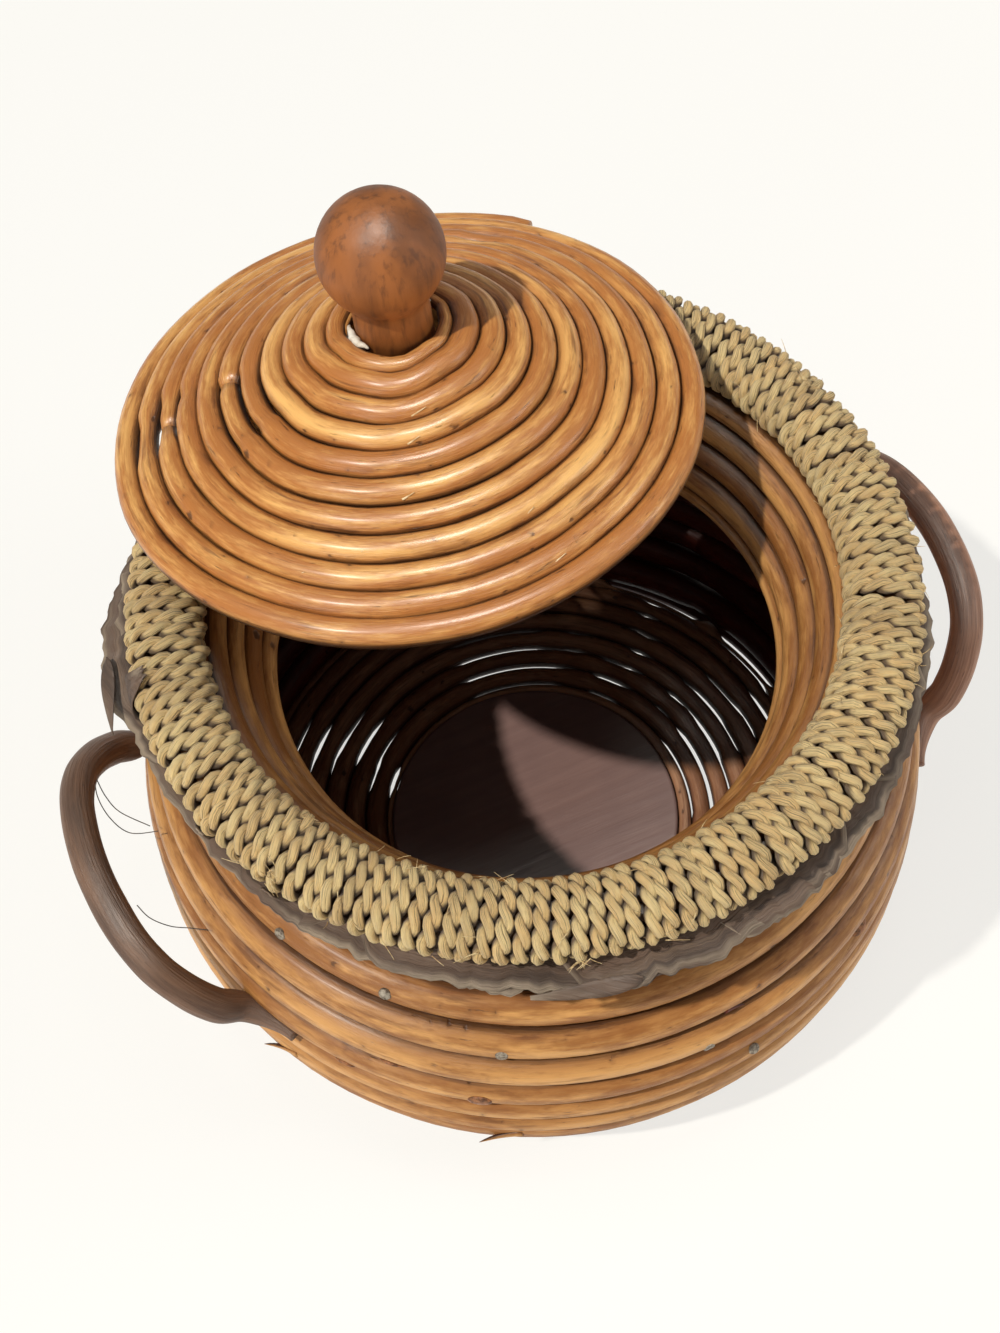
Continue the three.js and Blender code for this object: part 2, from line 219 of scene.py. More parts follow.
def addLamp(name, kind, power, azimuth, elevation, distance, size, colour):
    data = bpy.data.lights.new(name, kind)
    data.energy = power
    data.color = colour
    if kind == "SUN":
        data.angle = math.radians(size)
    else:
        data.size = size
    lamp = bpy.data.objects.new(name, data)
    scene.collection.objects.link(lamp)
    elevation = math.radians(elevation)
    level = ringPoint(1, math.radians(azimuth)) * math.cos(elevation)
    towards = level + Vector((0, 0, math.sin(elevation)))
    lamp.rotation_mode = "QUATERNION"
    lamp.rotation_quaternion = towards.to_track_quat("Z", "Y")
    lamp.location = towards * distance
    return lamp


def makeLight(settings):
    for lampSettings in settings["lamps"]:
        lamp = addLamp(*lampSettings)
        lamp.visible_diffuse = lamp.name != settings["shineOnly"]
    world = bpy.data.worlds.new("softRoom")
    scene.world = world
    world.use_nodes = True
    tree = world.node_tree
    sky = tree.nodes["Background"]
    sky.inputs["Color"].default_value = settings["skyColour"]
    seen = addNode(tree, "ShaderNodeLightPath").outputs["Is Camera Ray"]
    strength = remap(tree, seen, 0.0, 1.0, settings["skyStrength"], settings["skySeen"], "LINEAR")
    tree.links.new(strength, sky.inputs["Strength"])


makeLight(lightSettings)

floorSettings = {
    "size": 6,
    "level": -0.0002,
    "colour": srgb(252, 251, 247),
    "cloudColour": srgb(244, 243, 238),
    "glow": 0.74,  # share of the floor's white that the camera sees without light
}


def makeFloor(settings):
    bm = bmesh.new()
    bmesh.ops.create_grid(bm, x_segments=1, y_segments=1, size=settings["size"] / 2)
    mesh = bpy.data.meshes.new("paleFloor")
    bm.to_mesh(mesh)
    bm.free()
    floor = bpy.data.objects.new("paleFloor", mesh)
    floor.location.z = settings["level"]
    scene.collection.objects.link(floor)
    material, tree, shader = newMaterial("paleFloor", {"Roughness": 0.5})
    cloud = noiseValue(tree, objectSpot(tree), 1.4, 2.0)
    colour = mixColours(tree, cloud, settings["colour"], settings["cloudColour"])
    tree.links.new(colour, shader.inputs["Base Color"])
    path = addNode(tree, "ShaderNodeLightPath")
    seen = sums(tree, "MAXIMUM", path.outputs["Is Camera Ray"], path.outputs["Is Glossy Ray"])
    glow = addNode(tree, "ShaderNodeEmission", {"Color": settings["colour"], "Strength": 1.0})
    share = times(tree, seen, settings["glow"])
    mixed = addNode(tree, "ShaderNodeMixShader", {0: share, 1: shader.outputs[0], 2: glow.outputs[0]})
    tree.links.new(mixed.outputs[0], tree.nodes["Material Output"].inputs["Surface"])
    mesh.materials.append(material)


makeFloor(floorSettings)
print("camera, light and floor set")


# Pieces
def pieceName(node):  # a solid's name, written as one word
    first, *rest = node.split("_")
    return first + "".join(word.title() for word in rest)


def addPiece(name, mesh, body, material, replaced=()):
    piece = bpy.data.objects.new(name, mesh)
    scene.collection.objects.link(piece)
    mesh.materials.clear()
    mesh.materials.append(material)
    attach(piece, body)
    if replaced:
        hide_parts(*replaced)


def dress(node, material):  # a finish for a solid that is shown as it is
    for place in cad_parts[node].material_slots:
        place.material = material


def toMesh(bm, name, smooth=True):
    bmesh.ops.remove_doubles(bm, verts=bm.verts, dist=1e-6)
    bmesh.ops.recalc_face_normals(bm, faces=bm.faces)
    for face in bm.faces:
        face.smooth = smooth
    mesh = bpy.data.meshes.new(name)
    bm.to_mesh(mesh)
    bm.free()
    return mesh


def sweep(name, points, sideways, radii, resolution=4, twist="Z_UP"):
    # A round rod along the points. Its "lay" attribute holds, at each vertex, how far it faces the
    # sideways vector, how far it faces the third way, and its length along the rod in metres.
    data = bpy.data.curves.new(name, "CURVE")
    data.dimensions = "3D"
    data.bevel_depth = mm
    data.bevel_resolution = resolution
    data.use_fill_caps = True
    data.twist_mode = twist
    spline = data.splines.new("POLY")
    last = len(points) - 1
    spline.points.add(last)
    centres = np.array([tuple(p) for p in points], float) * mm
    radii = np.array(radii, float)
    spline.points.foreach_set("co", np.c_[centres, np.ones(len(centres))].ravel())
    spline.points.foreach_set("radius", radii)
    curve = bpy.data.objects.new(name, data)
    scene.collection.objects.link(curve)
    graph = bpy.context.evaluated_depsgraph_get()
    mesh = bpy.data.meshes.new_from_object(curve.evaluated_get(graph), depsgraph=graph)
    bpy.data.objects.remove(curve)
    bpy.data.curves.remove(data)
    sides = 4 + 2 * resolution
    rings = np.r_[np.full(sides, last), np.zeros(sides, int), np.repeat(np.arange(last + 1), sides)]
    along = unit(np.gradient(centres, axis=0))
    across = squareTo(along, np.array([tuple(s) for s in sideways], float))
    third = np.cross(along, across)
    spots = np.zeros(len(mesh.vertices) * 3)
    mesh.vertices.foreach_get("co", spots)
    out = (spots.reshape(-1, 3) - centres[rings]) / (radii[rings] * mm)[:, None]
    length = lengthsAlong(centres)[rings]
    lay = np.c_[(out * across[rings]).sum(1), (out * third[rings]).sum(1), length]
    mesh.attributes.new("lay", "FLOAT_VECTOR", "POINT").data.foreach_set("vector", lay.ravel())
    bm = bmesh.new()
    bm.from_mesh(mesh)
    bmesh.ops.remove_doubles(bm, verts=bm.verts, dist=1e-7)
    bm.to_mesh(mesh)
    bm.free()
    mesh.name = name
    return mesh


# Reed coils, with the same turns as the solids
coilSettings = {
    "tip": 1.2,  # millimetres
    "firstTurn": -0.35,  # the shaved tip runs on under its own first lap
    "spliceGap": 0.0006,  # turns
    "cutEnd": 0.86,  # a cut end is a little rounded
    "slitEase": 0.012,  # turns over which a slit opens
}
plainCoil = {"steps": 110, "shavedEnd": True, "slits": []}  # steps in one turn


def reedRadiusFor(span, turns, gap):
    return ((span - 4 * coilSettings["tip"] - gap) / (turns - 1) - gap) / 2


def reedRadiusAt(coil, turn):
    if turn < 0:
        return coilSettings["tip"] * (1 + turn) ** 4
    fall = min(coil["turns"] - turn, 1) if coil["shavedEnd"] else 1
    return coilSettings["tip"] + (coil["radius"] - coilSettings["tip"]) * min(turn, 1, fall)


def coilOffset(coil, turn):
    own = reedRadiusAt(coil, turn)
    if turn < 1:
        return own + (2 * coilSettings["tip"] + coil["gap"]) * max(turn, 0) ** 4
    return coilOffset(coil, turn - 1) + reedRadiusAt(coil, turn - 1) + own + coil["gap"]


def straightPlace(start, way):
    return lambda offset: ((start[0] + way[0] * offset, start[1] + way[1] * offset), way)


def slitAt(coil, turn):  # how far a reed is thinned where light shows beside it
    thin = 0
    for middle, half, depth in coil["slits"]:
        for own in (middle, middle + 1):
            opened = (half - abs(turn - own)) / min(half, coilSettings["slitEase"])
            thin = max(thin, depth * ease(opened))
    return thin


def reedLength(name, coil, fromTurn, toTurn, pose=None):
    points, ways, radii = [], [], []
    count = round((toTurn - fromTurn) * coil["steps"])
    seed = coil["seed"]
    for step in range(count + 1):
        turn = fromTurn + (toTurn - fromTurn) * step / count
        if step == 0 and fromTurn > 0:
            turn += coilSettings["spliceGap"]
        if step == count and toTurn < coil["turns"]:
            turn -= coilSettings["spliceGap"]
        (radius, height), (wayOut, wayUp) = coil["place"](coilOffset(coil, turn))
        angle = math.radians(coil["firstAngle"]) - 2 * math.pi * turn
        drift = coil["wobble"] * wave(turn * 4.3, seed, 3.1)  # out of the wall's own line
        slip = coil["wobble"] * 0.3 * wave(turn * 6.7, seed, 8.4)
        around = ringPoint(1, angle)
        for wide, share in ((1.5, 1.0), (4.2, 0.3)):  # laps lie in one another's bends
            slip += coil["sway"] * share * wave(around.x * wide + seed, around.y * wide, turn * 0.21)
        radius += drift * wayUp + slip * wayOut
        height += -drift * wayOut + slip * wayUp
        swell = 1 + 0.022 * wave(turn * 9.1, seed, 5.7) + 0.012 * wave(turn * 31, seed, 1.3)
        thick = (reedRadiusAt(coil, turn) + coil["gap"] / 2 + coil["press"]) * min(swell, 1.02)
        point = ringPoint(radius, angle, height)
        way = ringPoint(wayOut, angle, wayUp)
        if pose:
            point = pose @ point
            way = pose.to_3x3() @ way
        else:
            point.z = max(point.z, thick)  # no lap dips under the level it stands on
        points.append(point)
        ways.append(way)
        radii.append(thick - slitAt(coil, turn))
    radii[0] *= coilSettings["cutEnd"]
    radii[-1] *= coilSettings["cutEnd"]
    return sweep(name, points, ways, radii)


def addReeds(coil, splices, nodes, body, finish, pose=None):  # one piece for each length of a coil
    ends = [coilSettings["firstTurn"], *splices, coil["turns"]]
    for node, start, end in zip(nodes, ends, ends[1:]):
        name = pieceName(node)
        addPiece(name, reedLength(name, coil, start, end, pose), body, finish, [node])


def grooveTurn(coil, radius, azimuth):  # the turn inside the groove nearest to a spot on a flat coil
    def miss(turn):
        return abs(coil["place"](coilOffset(coil, turn) + reedRadiusAt(coil, turn))[0][0] - radius)

    base = ((coil["firstAngle"] - azimuth) / 360) % 1
    return min((base + lap for lap in range(coil["turns"])), key=miss)


# Shared finishes
def scattered(tree, vector, scale, edge, heart, rarity):  # rare round marks, and the soft ring round each
    inputs = {"Vector": stretched(tree, vector, scale), "Scale": 1.0}
    spots = addNode(tree, "ShaderNodeTexVoronoi", inputs).outputs
    pick = addNode(tree, "ShaderNodeSeparateColor", {0: spots["Color"]}).outputs[0]
    chosen = sums(tree, "GREATER_THAN", pick, rarity)
    mark = times(tree, remap(tree, spots["Distance"], edge, heart), chosen)
    ring = times(tree, remap(tree, spots["Distance"], edge * 2.2, heart), chosen)
    return mark, ring


toneNames = ("Pale", "Brown", "Stain", "Knot", "Inside")


def makeReedSkin():
    group = bpy.data.node_groups.new("reedSkin", "ShaderNodeTree")
    sockets = [(name, "INPUT", "Color") for name in toneNames]
    sockets += [(name, "INPUT", "Float") for name in ("Inside Share", "Groove Shade", "Seed")]
    sockets += [("Color", "OUTPUT", "Color")]
    sockets += [(name, "OUTPUT", "Float") for name in ("Roughness", "Height")]
    for name, side, kind in sockets:
        group.interface.new_socket(name, in_out=side, socket_type="NodeSocket" + kind)
    given = addNode(group, "NodeGroupInput").outputs
    lay = attribute(group, "lay")
    seed = given["Seed"]
    shift = addNode(group, "ShaderNodeCombineXYZ", {0: seed, 1: seed, 2: seed}).outputs[0]
    moved = addNode(group, "ShaderNodeVectorMath", {0: lay, 1: shift}, operation="ADD").outputs[0]
    parts = addNode(group, "ShaderNodeSeparateXYZ", {0: lay}).outputs
    beside = sums(group, "ABSOLUTE", parts[0])
    tone = drawn(group, moved, (0.25, 0.25, 4.4), 2.0)  # lighter and darker reaches
    blotch = drawn(group, moved, (1.0, 1.0, 30), 4.0, 0.62)
    mottle = drawn(group, moved, (2.6, 2.6, 92), 3.0, 0.6)
    fibre = drawn(group, moved, (7, 7, 36), 4.0, 0.65)
    hair = drawn(group, moved, (22, 22, 130), 2.0)
    mixed = weighted(group, (tone, 0.75), (blotch, 0.7), (mottle, 0.4), (fibre, 0.12))
    colour = layer(group, given["Pale"], mixed, 0.82, 1.14, 1.0, given["Brown"])
    streak = remap(group, hair, 0.3, 0.75, 0.95, 1.04, "LINEAR")
    grey = addNode(group, "ShaderNodeCombineColor", {0: streak, 1: streak, 2: streak}).outputs[0]
    colour = mixColours(group, 1.0, colour, grey, "MULTIPLY")
    # Painted shade: each rod turns browner towards the sides that face its neighbouring laps, as if lit
    # from above
    colour = layer(group, colour, beside, 0.15, 0.95, 0.78, given["Brown"])  # painted shade: browner sides, so the crowns read paler
    stain = remap(group, drawn(group, moved, (1.7, 1.7, 24), 4.0, 0.62), 0.56, 0.72, 0.0, 0.66)
    colour = mixColours(group, stain, colour, given["Stain"])
    # Blotchy stain kept to each rod's sides: partly dirt, partly painted shade that darkens the sides
    grimeAndShade = remap(group, drawn(group, moved, (1.3, 1.3, 46), 4.0, 0.65), 0.5, 0.66)
    grimeAndShade = times(group, grimeAndShade, remap(group, beside, 0.35, 0.9, 0.0, 0.75))
    colour = mixColours(group, grimeAndShade, colour, given["Stain"])
    fine = {"Vector": stretched(group, moved, (3, 3, 260)), "Scale": 1.0}
    bent = addNode(group, "ShaderNodeTexNoise", fine).outputs["Color"]
    pull = {0: bent, 1: (0.5, 0.5, 0.004)}
    pulled = addNode(group, "ShaderNodeVectorMath", pull, operation="MULTIPLY").outputs[0]
    uneven = addNode(group, "ShaderNodeVectorMath", {0: moved, 1: pulled}, operation="ADD").outputs[0]
    knot, halo = scattered(group, uneven, (0.5, 0.5, 90), 0.2, 0.1, 0.94)
    speck, smear = scattered(group, uneven, (1.4, 1.4, 240), 0.24, 0.1, 0.93)
    dash = remap(group, drawn(group, moved, (4.5, 4.5, 95), 3.0, 0.6), 0.65, 0.75)
    colour = mixColours(group, times(group, halo, 0.6), colour, given["Brown"])
    colour = mixColours(group, times(group, smear, 0.35), colour, given["Stain"])
    marks = sums(group, "MAXIMUM", times(group, knot, 0.75), times(group, speck, 0.6))
    marks = sums(group, "MAXIMUM", marks, times(group, dash, 0.6))
    colour = mixColours(group, marks, colour, given["Knot"])
    # Painted shade: the knot colour laid along each rod's edges, where it dips into the groove beside the
    # next lap
    grooveShadeMask = remap(group, roughened(group, beside, fibre, 0.3), 0.7, 1.0)
    colour = mixColours(group, times(group, grooveShadeMask, given["Groove Shade"]), colour, given["Knot"])
    # Painted shade: faces turned into the basket are multiplied by the inside colour, darkest on the wall
    within = times(group, remap(group, parts[1], -0.35, 0.45), given["Inside Share"])
    shaded = mixColours(group, 1.0, colour, given["Inside"], "MULTIPLY")
    colour = mixColours(group, within, colour, shaded)
    rough = remap(group, sums(group, "ADD", blotch, stain), 0.3, 0.9, 0.34, 0.6, "LINEAR")
    height = weighted(group, (fibre, 0.5), (hair, 0.2), (mottle, 0.5), (marks, -0.5))
    addNode(group, "NodeGroupOutput", {"Color": colour, "Roughness": rough, "Height": height})
    return group


reedSkin = makeReedSkin()


def reedMaterial(name, tones, insideShadeShare, grooveShade, seed, shine):
    fixed = {"Coat Weight": shine, "Coat Roughness": 0.27, "Specular IOR Level": 0.3}
    material, tree, shader = newMaterial(name, fixed)
    values = {**tones, "Inside Share": insideShadeShare, "Groove Shade": grooveShade, "Seed": seed}
    skin = addNode(tree, "ShaderNodeGroup", node_tree=reedSkin)
    for socket, value in values.items():
        skin.inputs[socket].default_value = value
    tree.links.new(skin.outputs["Color"], shader.inputs["Base Color"])
    tree.links.new(skin.outputs["Roughness"], shader.inputs["Roughness"])
    bumpInto(tree, shader, skin.outputs["Height"], 0.0007, 0.9)
    return material


def agedMaterial(name, light, dark, scale, metallic=0.0):  # for the small pieces
    material, tree, shader = newMaterial(name, {"Metallic": metallic})
    cloud = noiseValue(tree, objectSpot(tree), scale, 4.0, 0.6)
    paint(tree, shader, layer(tree, light, cloud, 0.35, 0.65, 1.0, dark), cloud, 0.4, 0.7)
    bumpInto(tree, shader, cloud, 0.0004)
    return material


# Floor board and floor reeds
boardSettings = {"radius": 59.8, "thickness": 8, "edge": 1.2, "edgeSteps": 3, "segments": 128}


def boardMaterial():
    material, tree, shader = newMaterial("boardWood")
    spot = objectSpot(tree)
    grain = drawn(tree, spot, (14, 190, 14), 5.0, 0.6)
    cloud = noiseValue(tree, spot, 24.0, 3.0)
    colour = layer(tree, srgb(135, 106, 99), grain, 0.3, 0.75, 1.0, srgb(125, 97, 91))
    colour = layer(tree, colour, cloud, 0.4, 0.75, 0.5, srgb(112, 84, 80))
    paint(tree, shader, colour, cloud, 0.42, 0.6)
    bumpInto(tree, shader, grain, 0.0004)
    return material


def makeBoard(settings, material):
    bm = bmesh.new()
    radius, segments = settings["radius"] * mm, settings["segments"]
    bmesh.ops.create_circle(bm, cap_ends=True, radius=radius, segments=segments)
    lifted = bmesh.ops.extrude_face_region(bm, geom=list(bm.faces))
    tops = [v for v in lifted["geom"] if isinstance(v, bmesh.types.BMVert)]
    bmesh.ops.translate(bm, verts=tops, vec=(0, 0, settings["thickness"] * mm))
    bmesh.ops.recalc_face_normals(bm, faces=bm.faces)
    flat = [f for f in bm.faces if abs(f.normal.z) > 0.9]
    rims = list({e for f in flat for e in f.edges})
    bmesh.ops.bevel(
        bm, geom=rims, offset=settings["edge"] * mm, affect="EDGES", segments=settings["edgeSteps"],
        profile=0.5, material=-1,
    )
    mesh = toMesh(bm, "floorBoard", smooth=False)
    addPiece("floorBoard", mesh, "basket", material, ["floor_board"])


makeBoard(boardSettings, boardMaterial())

wallSettings = {
    "bellyRadius": 141.2,
    "height": 146,
    "shape": [
        (0.867, 0.005), (0.894, 0.067), (0.938, 0.154), (0.974, 0.26), (0.996, 0.377), (1, 0.479),
        (0.984, 0.671), (0.946, 0.788), (0.904, 0.87), (0.839, 0.942), (0.754, 0.982), (0.7, 1),
    ],
    "turns": 12,
    "gap": 0.7,
    "splices": (3.2, 6.3, 9.1),
}


def splineThrough(points, perSpan=40):  # a smooth line through the points, and its length at each sample
    points = np.array(points, float)
    last = len(points) - 1
    line = [points[0]]
    for span in range(last):
        before, start, end, after = (points[min(max(span + k, 0), last)] for k in (-1, 0, 1, 2))
        for step in range(1, perSpan + 1):
            t = step / perSpan
            out, back = (end - before) / 2, (after - start) / 2
            a, b = 2 * (start - end) + out + back, 3 * (end - start) - 2 * out - back
            line.append(((a * t + b) * t + out) * t + start)
    return np.array(line), lengthsAlong(np.array(line))


wallLine, wallLengths = splineThrough(
    [(r * wallSettings["bellyRadius"], z * wallSettings["height"]) for r, z in wallSettings["shape"]]
)
wallSpan = wallLengths[-1]


def wallPoint(offset):
    offset = min(max(offset, 0), wallSpan)
    return np.array([np.interp(offset, wallLengths, wallLine[:, k]) for k in (0, 1)])


def wallPlace(offset):
    way = wallPoint(offset + 0.5) - wallPoint(offset - 0.5)
    return tuple(wallPoint(offset)), tuple(way / np.linalg.norm(way))


wallRadius = reedRadiusFor(wallSpan, wallSettings["turns"], wallSettings["gap"])
floorReeds = {
    **plainCoil,
    "turns": 7,
    "gap": 0.5,
    "firstAngle": 150,
    "press": 0.12,  # how far laps are pressed into each other
    "wobble": 0.25,
    "sway": 0.5,
    "seed": 11.7,
    "splice": 4,
    "start": 59.9,
    "tuck": 1.2,
    "lift": 0.1,
    # places where the pale floor shows between two turns: radius, from azimuth, to azimuth
    "light": [
        (69.5, 54, 92), (66, 131, 146), (76, 31, 47), (74, -26, 11), (82.5, 62, 91), (83.8, 119, 137),
        (86, 50, 58), (81.5, -7, 11), (80, 14, 23), (94.8, 128, 142), (94, 31, 40), (91.3, 3, 19),
        (110, 35, 41), (109, -4, 9),
    ],
    "slitDepth": 0.84,
    "slitTurn": 700,  # a slit's degrees over this are its half length in turns
}
floorSpan = wallPoint(wallRadius)[0] - wallRadius + floorReeds["tuck"] - floorReeds["start"]
floorReeds["radius"] = reedRadiusFor(floorSpan, floorReeds["turns"], floorReeds["gap"])
floorStart = (floorReeds["start"], floorReeds["radius"] + floorReeds["lift"])
floorReeds["place"] = straightPlace(floorStart, (1, 0))
floorReeds["slits"] = []
for radius, low, high in floorReeds["light"]:
    turn = grooveTurn(floorReeds, radius, (low + high) / 2)
    floorReeds["slits"].append((turn, (high - low) / floorReeds["slitTurn"], floorReeds["slitDepth"]))
wallReeds = {
    **plainCoil,
    "turns": wallSettings["turns"],
    "gap": wallSettings["gap"],
    "radius": wallRadius,
    "firstAngle": 90,
    "press": 0.12,
    "wobble": 0.55,
    "sway": 1.0,
    "seed": 4.2,
    "place": wallPlace,
    "slits": [(1.169, 0.014, 0.9), (2.15, 0.017, 0.9)],
}
neckSettings = {"inset": 8.2, "drop": 3.2, "flare": 28, "span": 46.7, "turns": 5, "gap": 0.5}
neckWay = (math.sin(math.radians(neckSettings["flare"])), math.cos(math.radians(neckSettings["flare"])))
neckFoot = (wallLine[-1][0] - neckSettings["inset"], wallLine[-1][1] - neckSettings["drop"])
neckReeds = {
    **plainCoil,
    "turns": neckSettings["turns"],
    "gap": neckSettings["gap"],
    "radius": reedRadiusFor(neckSettings["span"], neckSettings["turns"], neckSettings["gap"]),
    "firstAngle": 120,
    "press": 0.05,
    "wobble": 0.2,
    "sway": 0.3,
    "seed": 7.9,
    "place": straightPlace(neckFoot, neckWay),
}


def makeTones(*colours):  # pale, brown, stain, knot and the painted shade of the inward faces
    return {name: srgb(*colour) for name, colour in zip(toneNames, colours)}


reedTones = makeTones((212, 158, 94), (148, 95, 47), (104, 62, 30), (52, 26, 10), (122, 60, 40))
floorTones = makeTones((190, 153, 122), (140, 98, 68), (98, 58, 38), (46, 22, 13), (236, 206, 190))
lidTones = makeTones((248, 192, 114), (186, 118, 56), (108, 62, 26), (46, 22, 8), (200, 128, 96))
wallFinish = reedMaterial("wallReed", reedTones, 1.0, 0.9, 0.37, 0.14)
floorFinish = reedMaterial("floorReed", floorTones, 0.6, 0.9, 2.11, 0.05)
neckFinish = reedMaterial("neckReed", reedTones, 0.1, 0.9, 5.43, 0.2)

floorNodes = ("floor_reed_inner", "floor_reed_outer")
addReeds(floorReeds, [floorReeds["splice"]], floorNodes, "basket", floorFinish)
wallNodes = ("wall_reed_foot", "wall_reed_belly", "wall_reed_upper", "wall_reed_shoulder")
addReeds(wallReeds, wallSettings["splices"], wallNodes, "basket", wallFinish)

cornerSettings = {
    "azimuths": range(90, -270, -1),
    "press": 1.6,
    "height": 3.4,
    "thinnest": 0.4,
    # where the floor outside shows through: from azimuth, to azimuth, how far it is opened
    "light": [(26, 52, 1.3), (4, 25, 1.3)],
    "lightEdge": 4,  # degrees
}


def makeCornerReed(settings, material):  # packs the wedge beside the wall's foot
    points, ways, radii = [], [], []
    for azimuth in settings["azimuths"]:
        last = floorReeds["turns"] - 1 + (floorReeds["firstAngle"] - azimuth) / 360 % 1
        floorEdge = floorReeds["start"] + coilOffset(floorReeds, last) + reedRadiusAt(floorReeds, last)
        turn = (wallReeds["firstAngle"] - azimuth) / 360
        wallEdge = wallPlace(coilOffset(wallReeds, turn))[0][0] - reedRadiusAt(wallReeds, turn)
        press = settings["press"]
        for low, high, opened in settings["light"]:
            press -= (press + opened) * ease(min(azimuth - low, high - azimuth) / settings["lightEdge"])
        radius = (wallEdge - floorEdge) / 2 + press
        angle = math.radians(azimuth)
        points.append(ringPoint((wallEdge + floorEdge) / 2, angle, max(settings["height"], radius)))
        ways.append(ringPoint(1, angle))
        radii.append(max(radius, settings["thinnest"]))
    mesh = sweep("cornerReed", points, ways, radii, resolution=2)
    addPiece("cornerReed", mesh, "basket", material)


makeCornerReed(cornerSettings, floorFinish)
addReeds(neckReeds, [], ["neck_reed"], "basket", neckFinish)
print("floor, wall and neck reeds coiled")

# Rim: hoops, twisted cord and leaf
rimSettings = {
    "overhang": 8.5,
    "bed": 3.6,
    "halfWidth": 14.3,
    "halfHeight": 10.1,
    "cordTurns": 142,
    "turnSteps": 40,
    "plyRadius": 1.7,
    "plyOffset": 1.4,
    "twist": 13.4,  # length of cord in one full twist
    "startAzimuth": -110,
    "seam": 0.1,  # turns left between the two ends
    "evenEnds": 3,  # turns at each end that lie evenly
}
neckTop = [foot + way * neckSettings["span"] for foot, way in zip(neckFoot, neckWay)]
rimRadius = neckTop[0] + rimSettings["overhang"]
rimHeight = neckTop[1] - rimSettings["bed"] + rimSettings["halfHeight"]


def cordLine(settings):
    turns = settings["cordTurns"]
    turn = np.arange(turns * settings["turnSteps"] + 1) / settings["turnSteps"]
    crowd = np.array([0.32 * wave(t * 0.83, 2.6) + 0.12 * wave(t * 2.9, 7.1) for t in turn])
    crowd *= np.minimum(1, np.minimum(turn, turns - turn) / settings["evenEnds"])
    puff = np.array([0.35 * wave(t * 1.7, 5.5) + 0.2 * wave(t * 0.31, 9.9) for t in turn])
    sweepTotal = 2 * math.pi * turns / (turns + settings["seam"])
    around = math.radians(settings["startAzimuth"]) + sweepTotal * (turn + crowd) / turns
    wrap = 2 * math.pi * turn - math.pi / 2
    cordRadius = settings["plyRadius"] + settings["plyOffset"]
    reach = settings["halfWidth"] - cordRadius + puff
    rise = settings["halfHeight"] - cordRadius + puff
    radius = rimRadius + reach * np.cos(wrap)
    centre = np.c_[radius * np.cos(around), radius * np.sin(around), rimHeight + rise * np.sin(wrap)]
    outR, outZ = np.cos(wrap) / reach, np.sin(wrap) / rise
    size = np.hypot(outR, outZ)
    out = np.c_[outR / size * np.cos(around), outR / size * np.sin(around), outZ / size]
    return centre, out


def markStand(mesh, line, phase, settings):  # stores how far each vertex stands out of its cord, -1 to 1
    lay = np.zeros(len(mesh.vertices) * 3)
    mesh.attributes["lay"].data.foreach_get("vector", lay)
    lay = lay.reshape(-1, 3)
    lift = settings["plyOffset"] * np.cos(np.interp(lay[:, 2], lengthsAlong(line) * mm, phase))
    stand = (lift + settings["plyRadius"] * lay[:, 0]) / (settings["plyOffset"] + settings["plyRadius"])
    mesh.attributes.new("stand", "FLOAT", "POINT").data.foreach_set("value", stand)


def makeCord(settings, material):
    centre, out = cordLine(settings)
    along = unit(np.gradient(centre, axis=0))
    out = squareTo(along, out)
    third = np.cross(along, out)
    length = lengthsAlong(centre)
    lag = np.array([0.5 * wave(l * 0.021, 3.3) for l in length])
    for ply, name in enumerate(("rimCordPlyOne", "rimCordPlyTwo")):
        phase = math.pi * ply - 2 * math.pi * length / settings["twist"] + lag * 2
        swing = np.cos(phase)[:, None] * out + np.sin(phase)[:, None] * third
        line = centre + settings["plyOffset"] * swing
        swell = [1 + 0.13 * wave(l * 0.09, ply * 4.4 + 1) + 0.05 * wave(l * 0.4, ply) for l in length]
        radii = settings["plyRadius"] * np.array(swell)
        mesh = sweep(name, line, out, radii, resolution=2, twist="MINIMUM")
        markStand(mesh, line, phase, settings)
        addPiece(name, mesh, "basket", material, ["rim_cord"])


def cordMaterial():
    material, tree, shader = newMaterial("seagrassCord", {"Sheen Weight": 0.15, "Sheen Roughness": 0.5})
    lay = attribute(tree, "lay")
    strand = drawn(tree, lay, (4.6, 4.6, 46), 4.0, 0.65)
    hair = drawn(tree, lay, (15, 15, 120), 2.0)
    lobe = drawn(tree, lay, (0.3, 0.3, 75), 3.0, 0.6)
    reach = drawn(tree, lay, (0.1, 0.1, 4), 2.0)
    colour = layer(tree, srgb(255, 226, 160), lobe, 0.36, 0.64, 1.0, srgb(248, 208, 138))
    colour = layer(tree, colour, reach, 0.45, 0.7, 0.5, srgb(190, 156, 100))
    colour = layer(tree, colour, strand, 0.5, 0.68, 0.85, srgb(116, 82, 40))
    colour = layer(tree, colour, hair, 0.55, 0.75, 0.55, srgb(248, 228, 178))
    plyShade = roughened(tree, attribute(tree, "stand", "Fac"), strand, 0.25)
    colour = layer(tree, colour, plyShade, 0.52, 0.06, 0.9, srgb(92, 60, 28))  # painted shade where a ply sinks between its neighbours
    paint(tree, shader, colour, strand, 0.55, 0.8)
    bumpInto(tree, shader, weighted(tree, (hair, 0.4), (strand, -1.0)), 0.0014)
    return material


makeCord(rimSettings, cordMaterial())


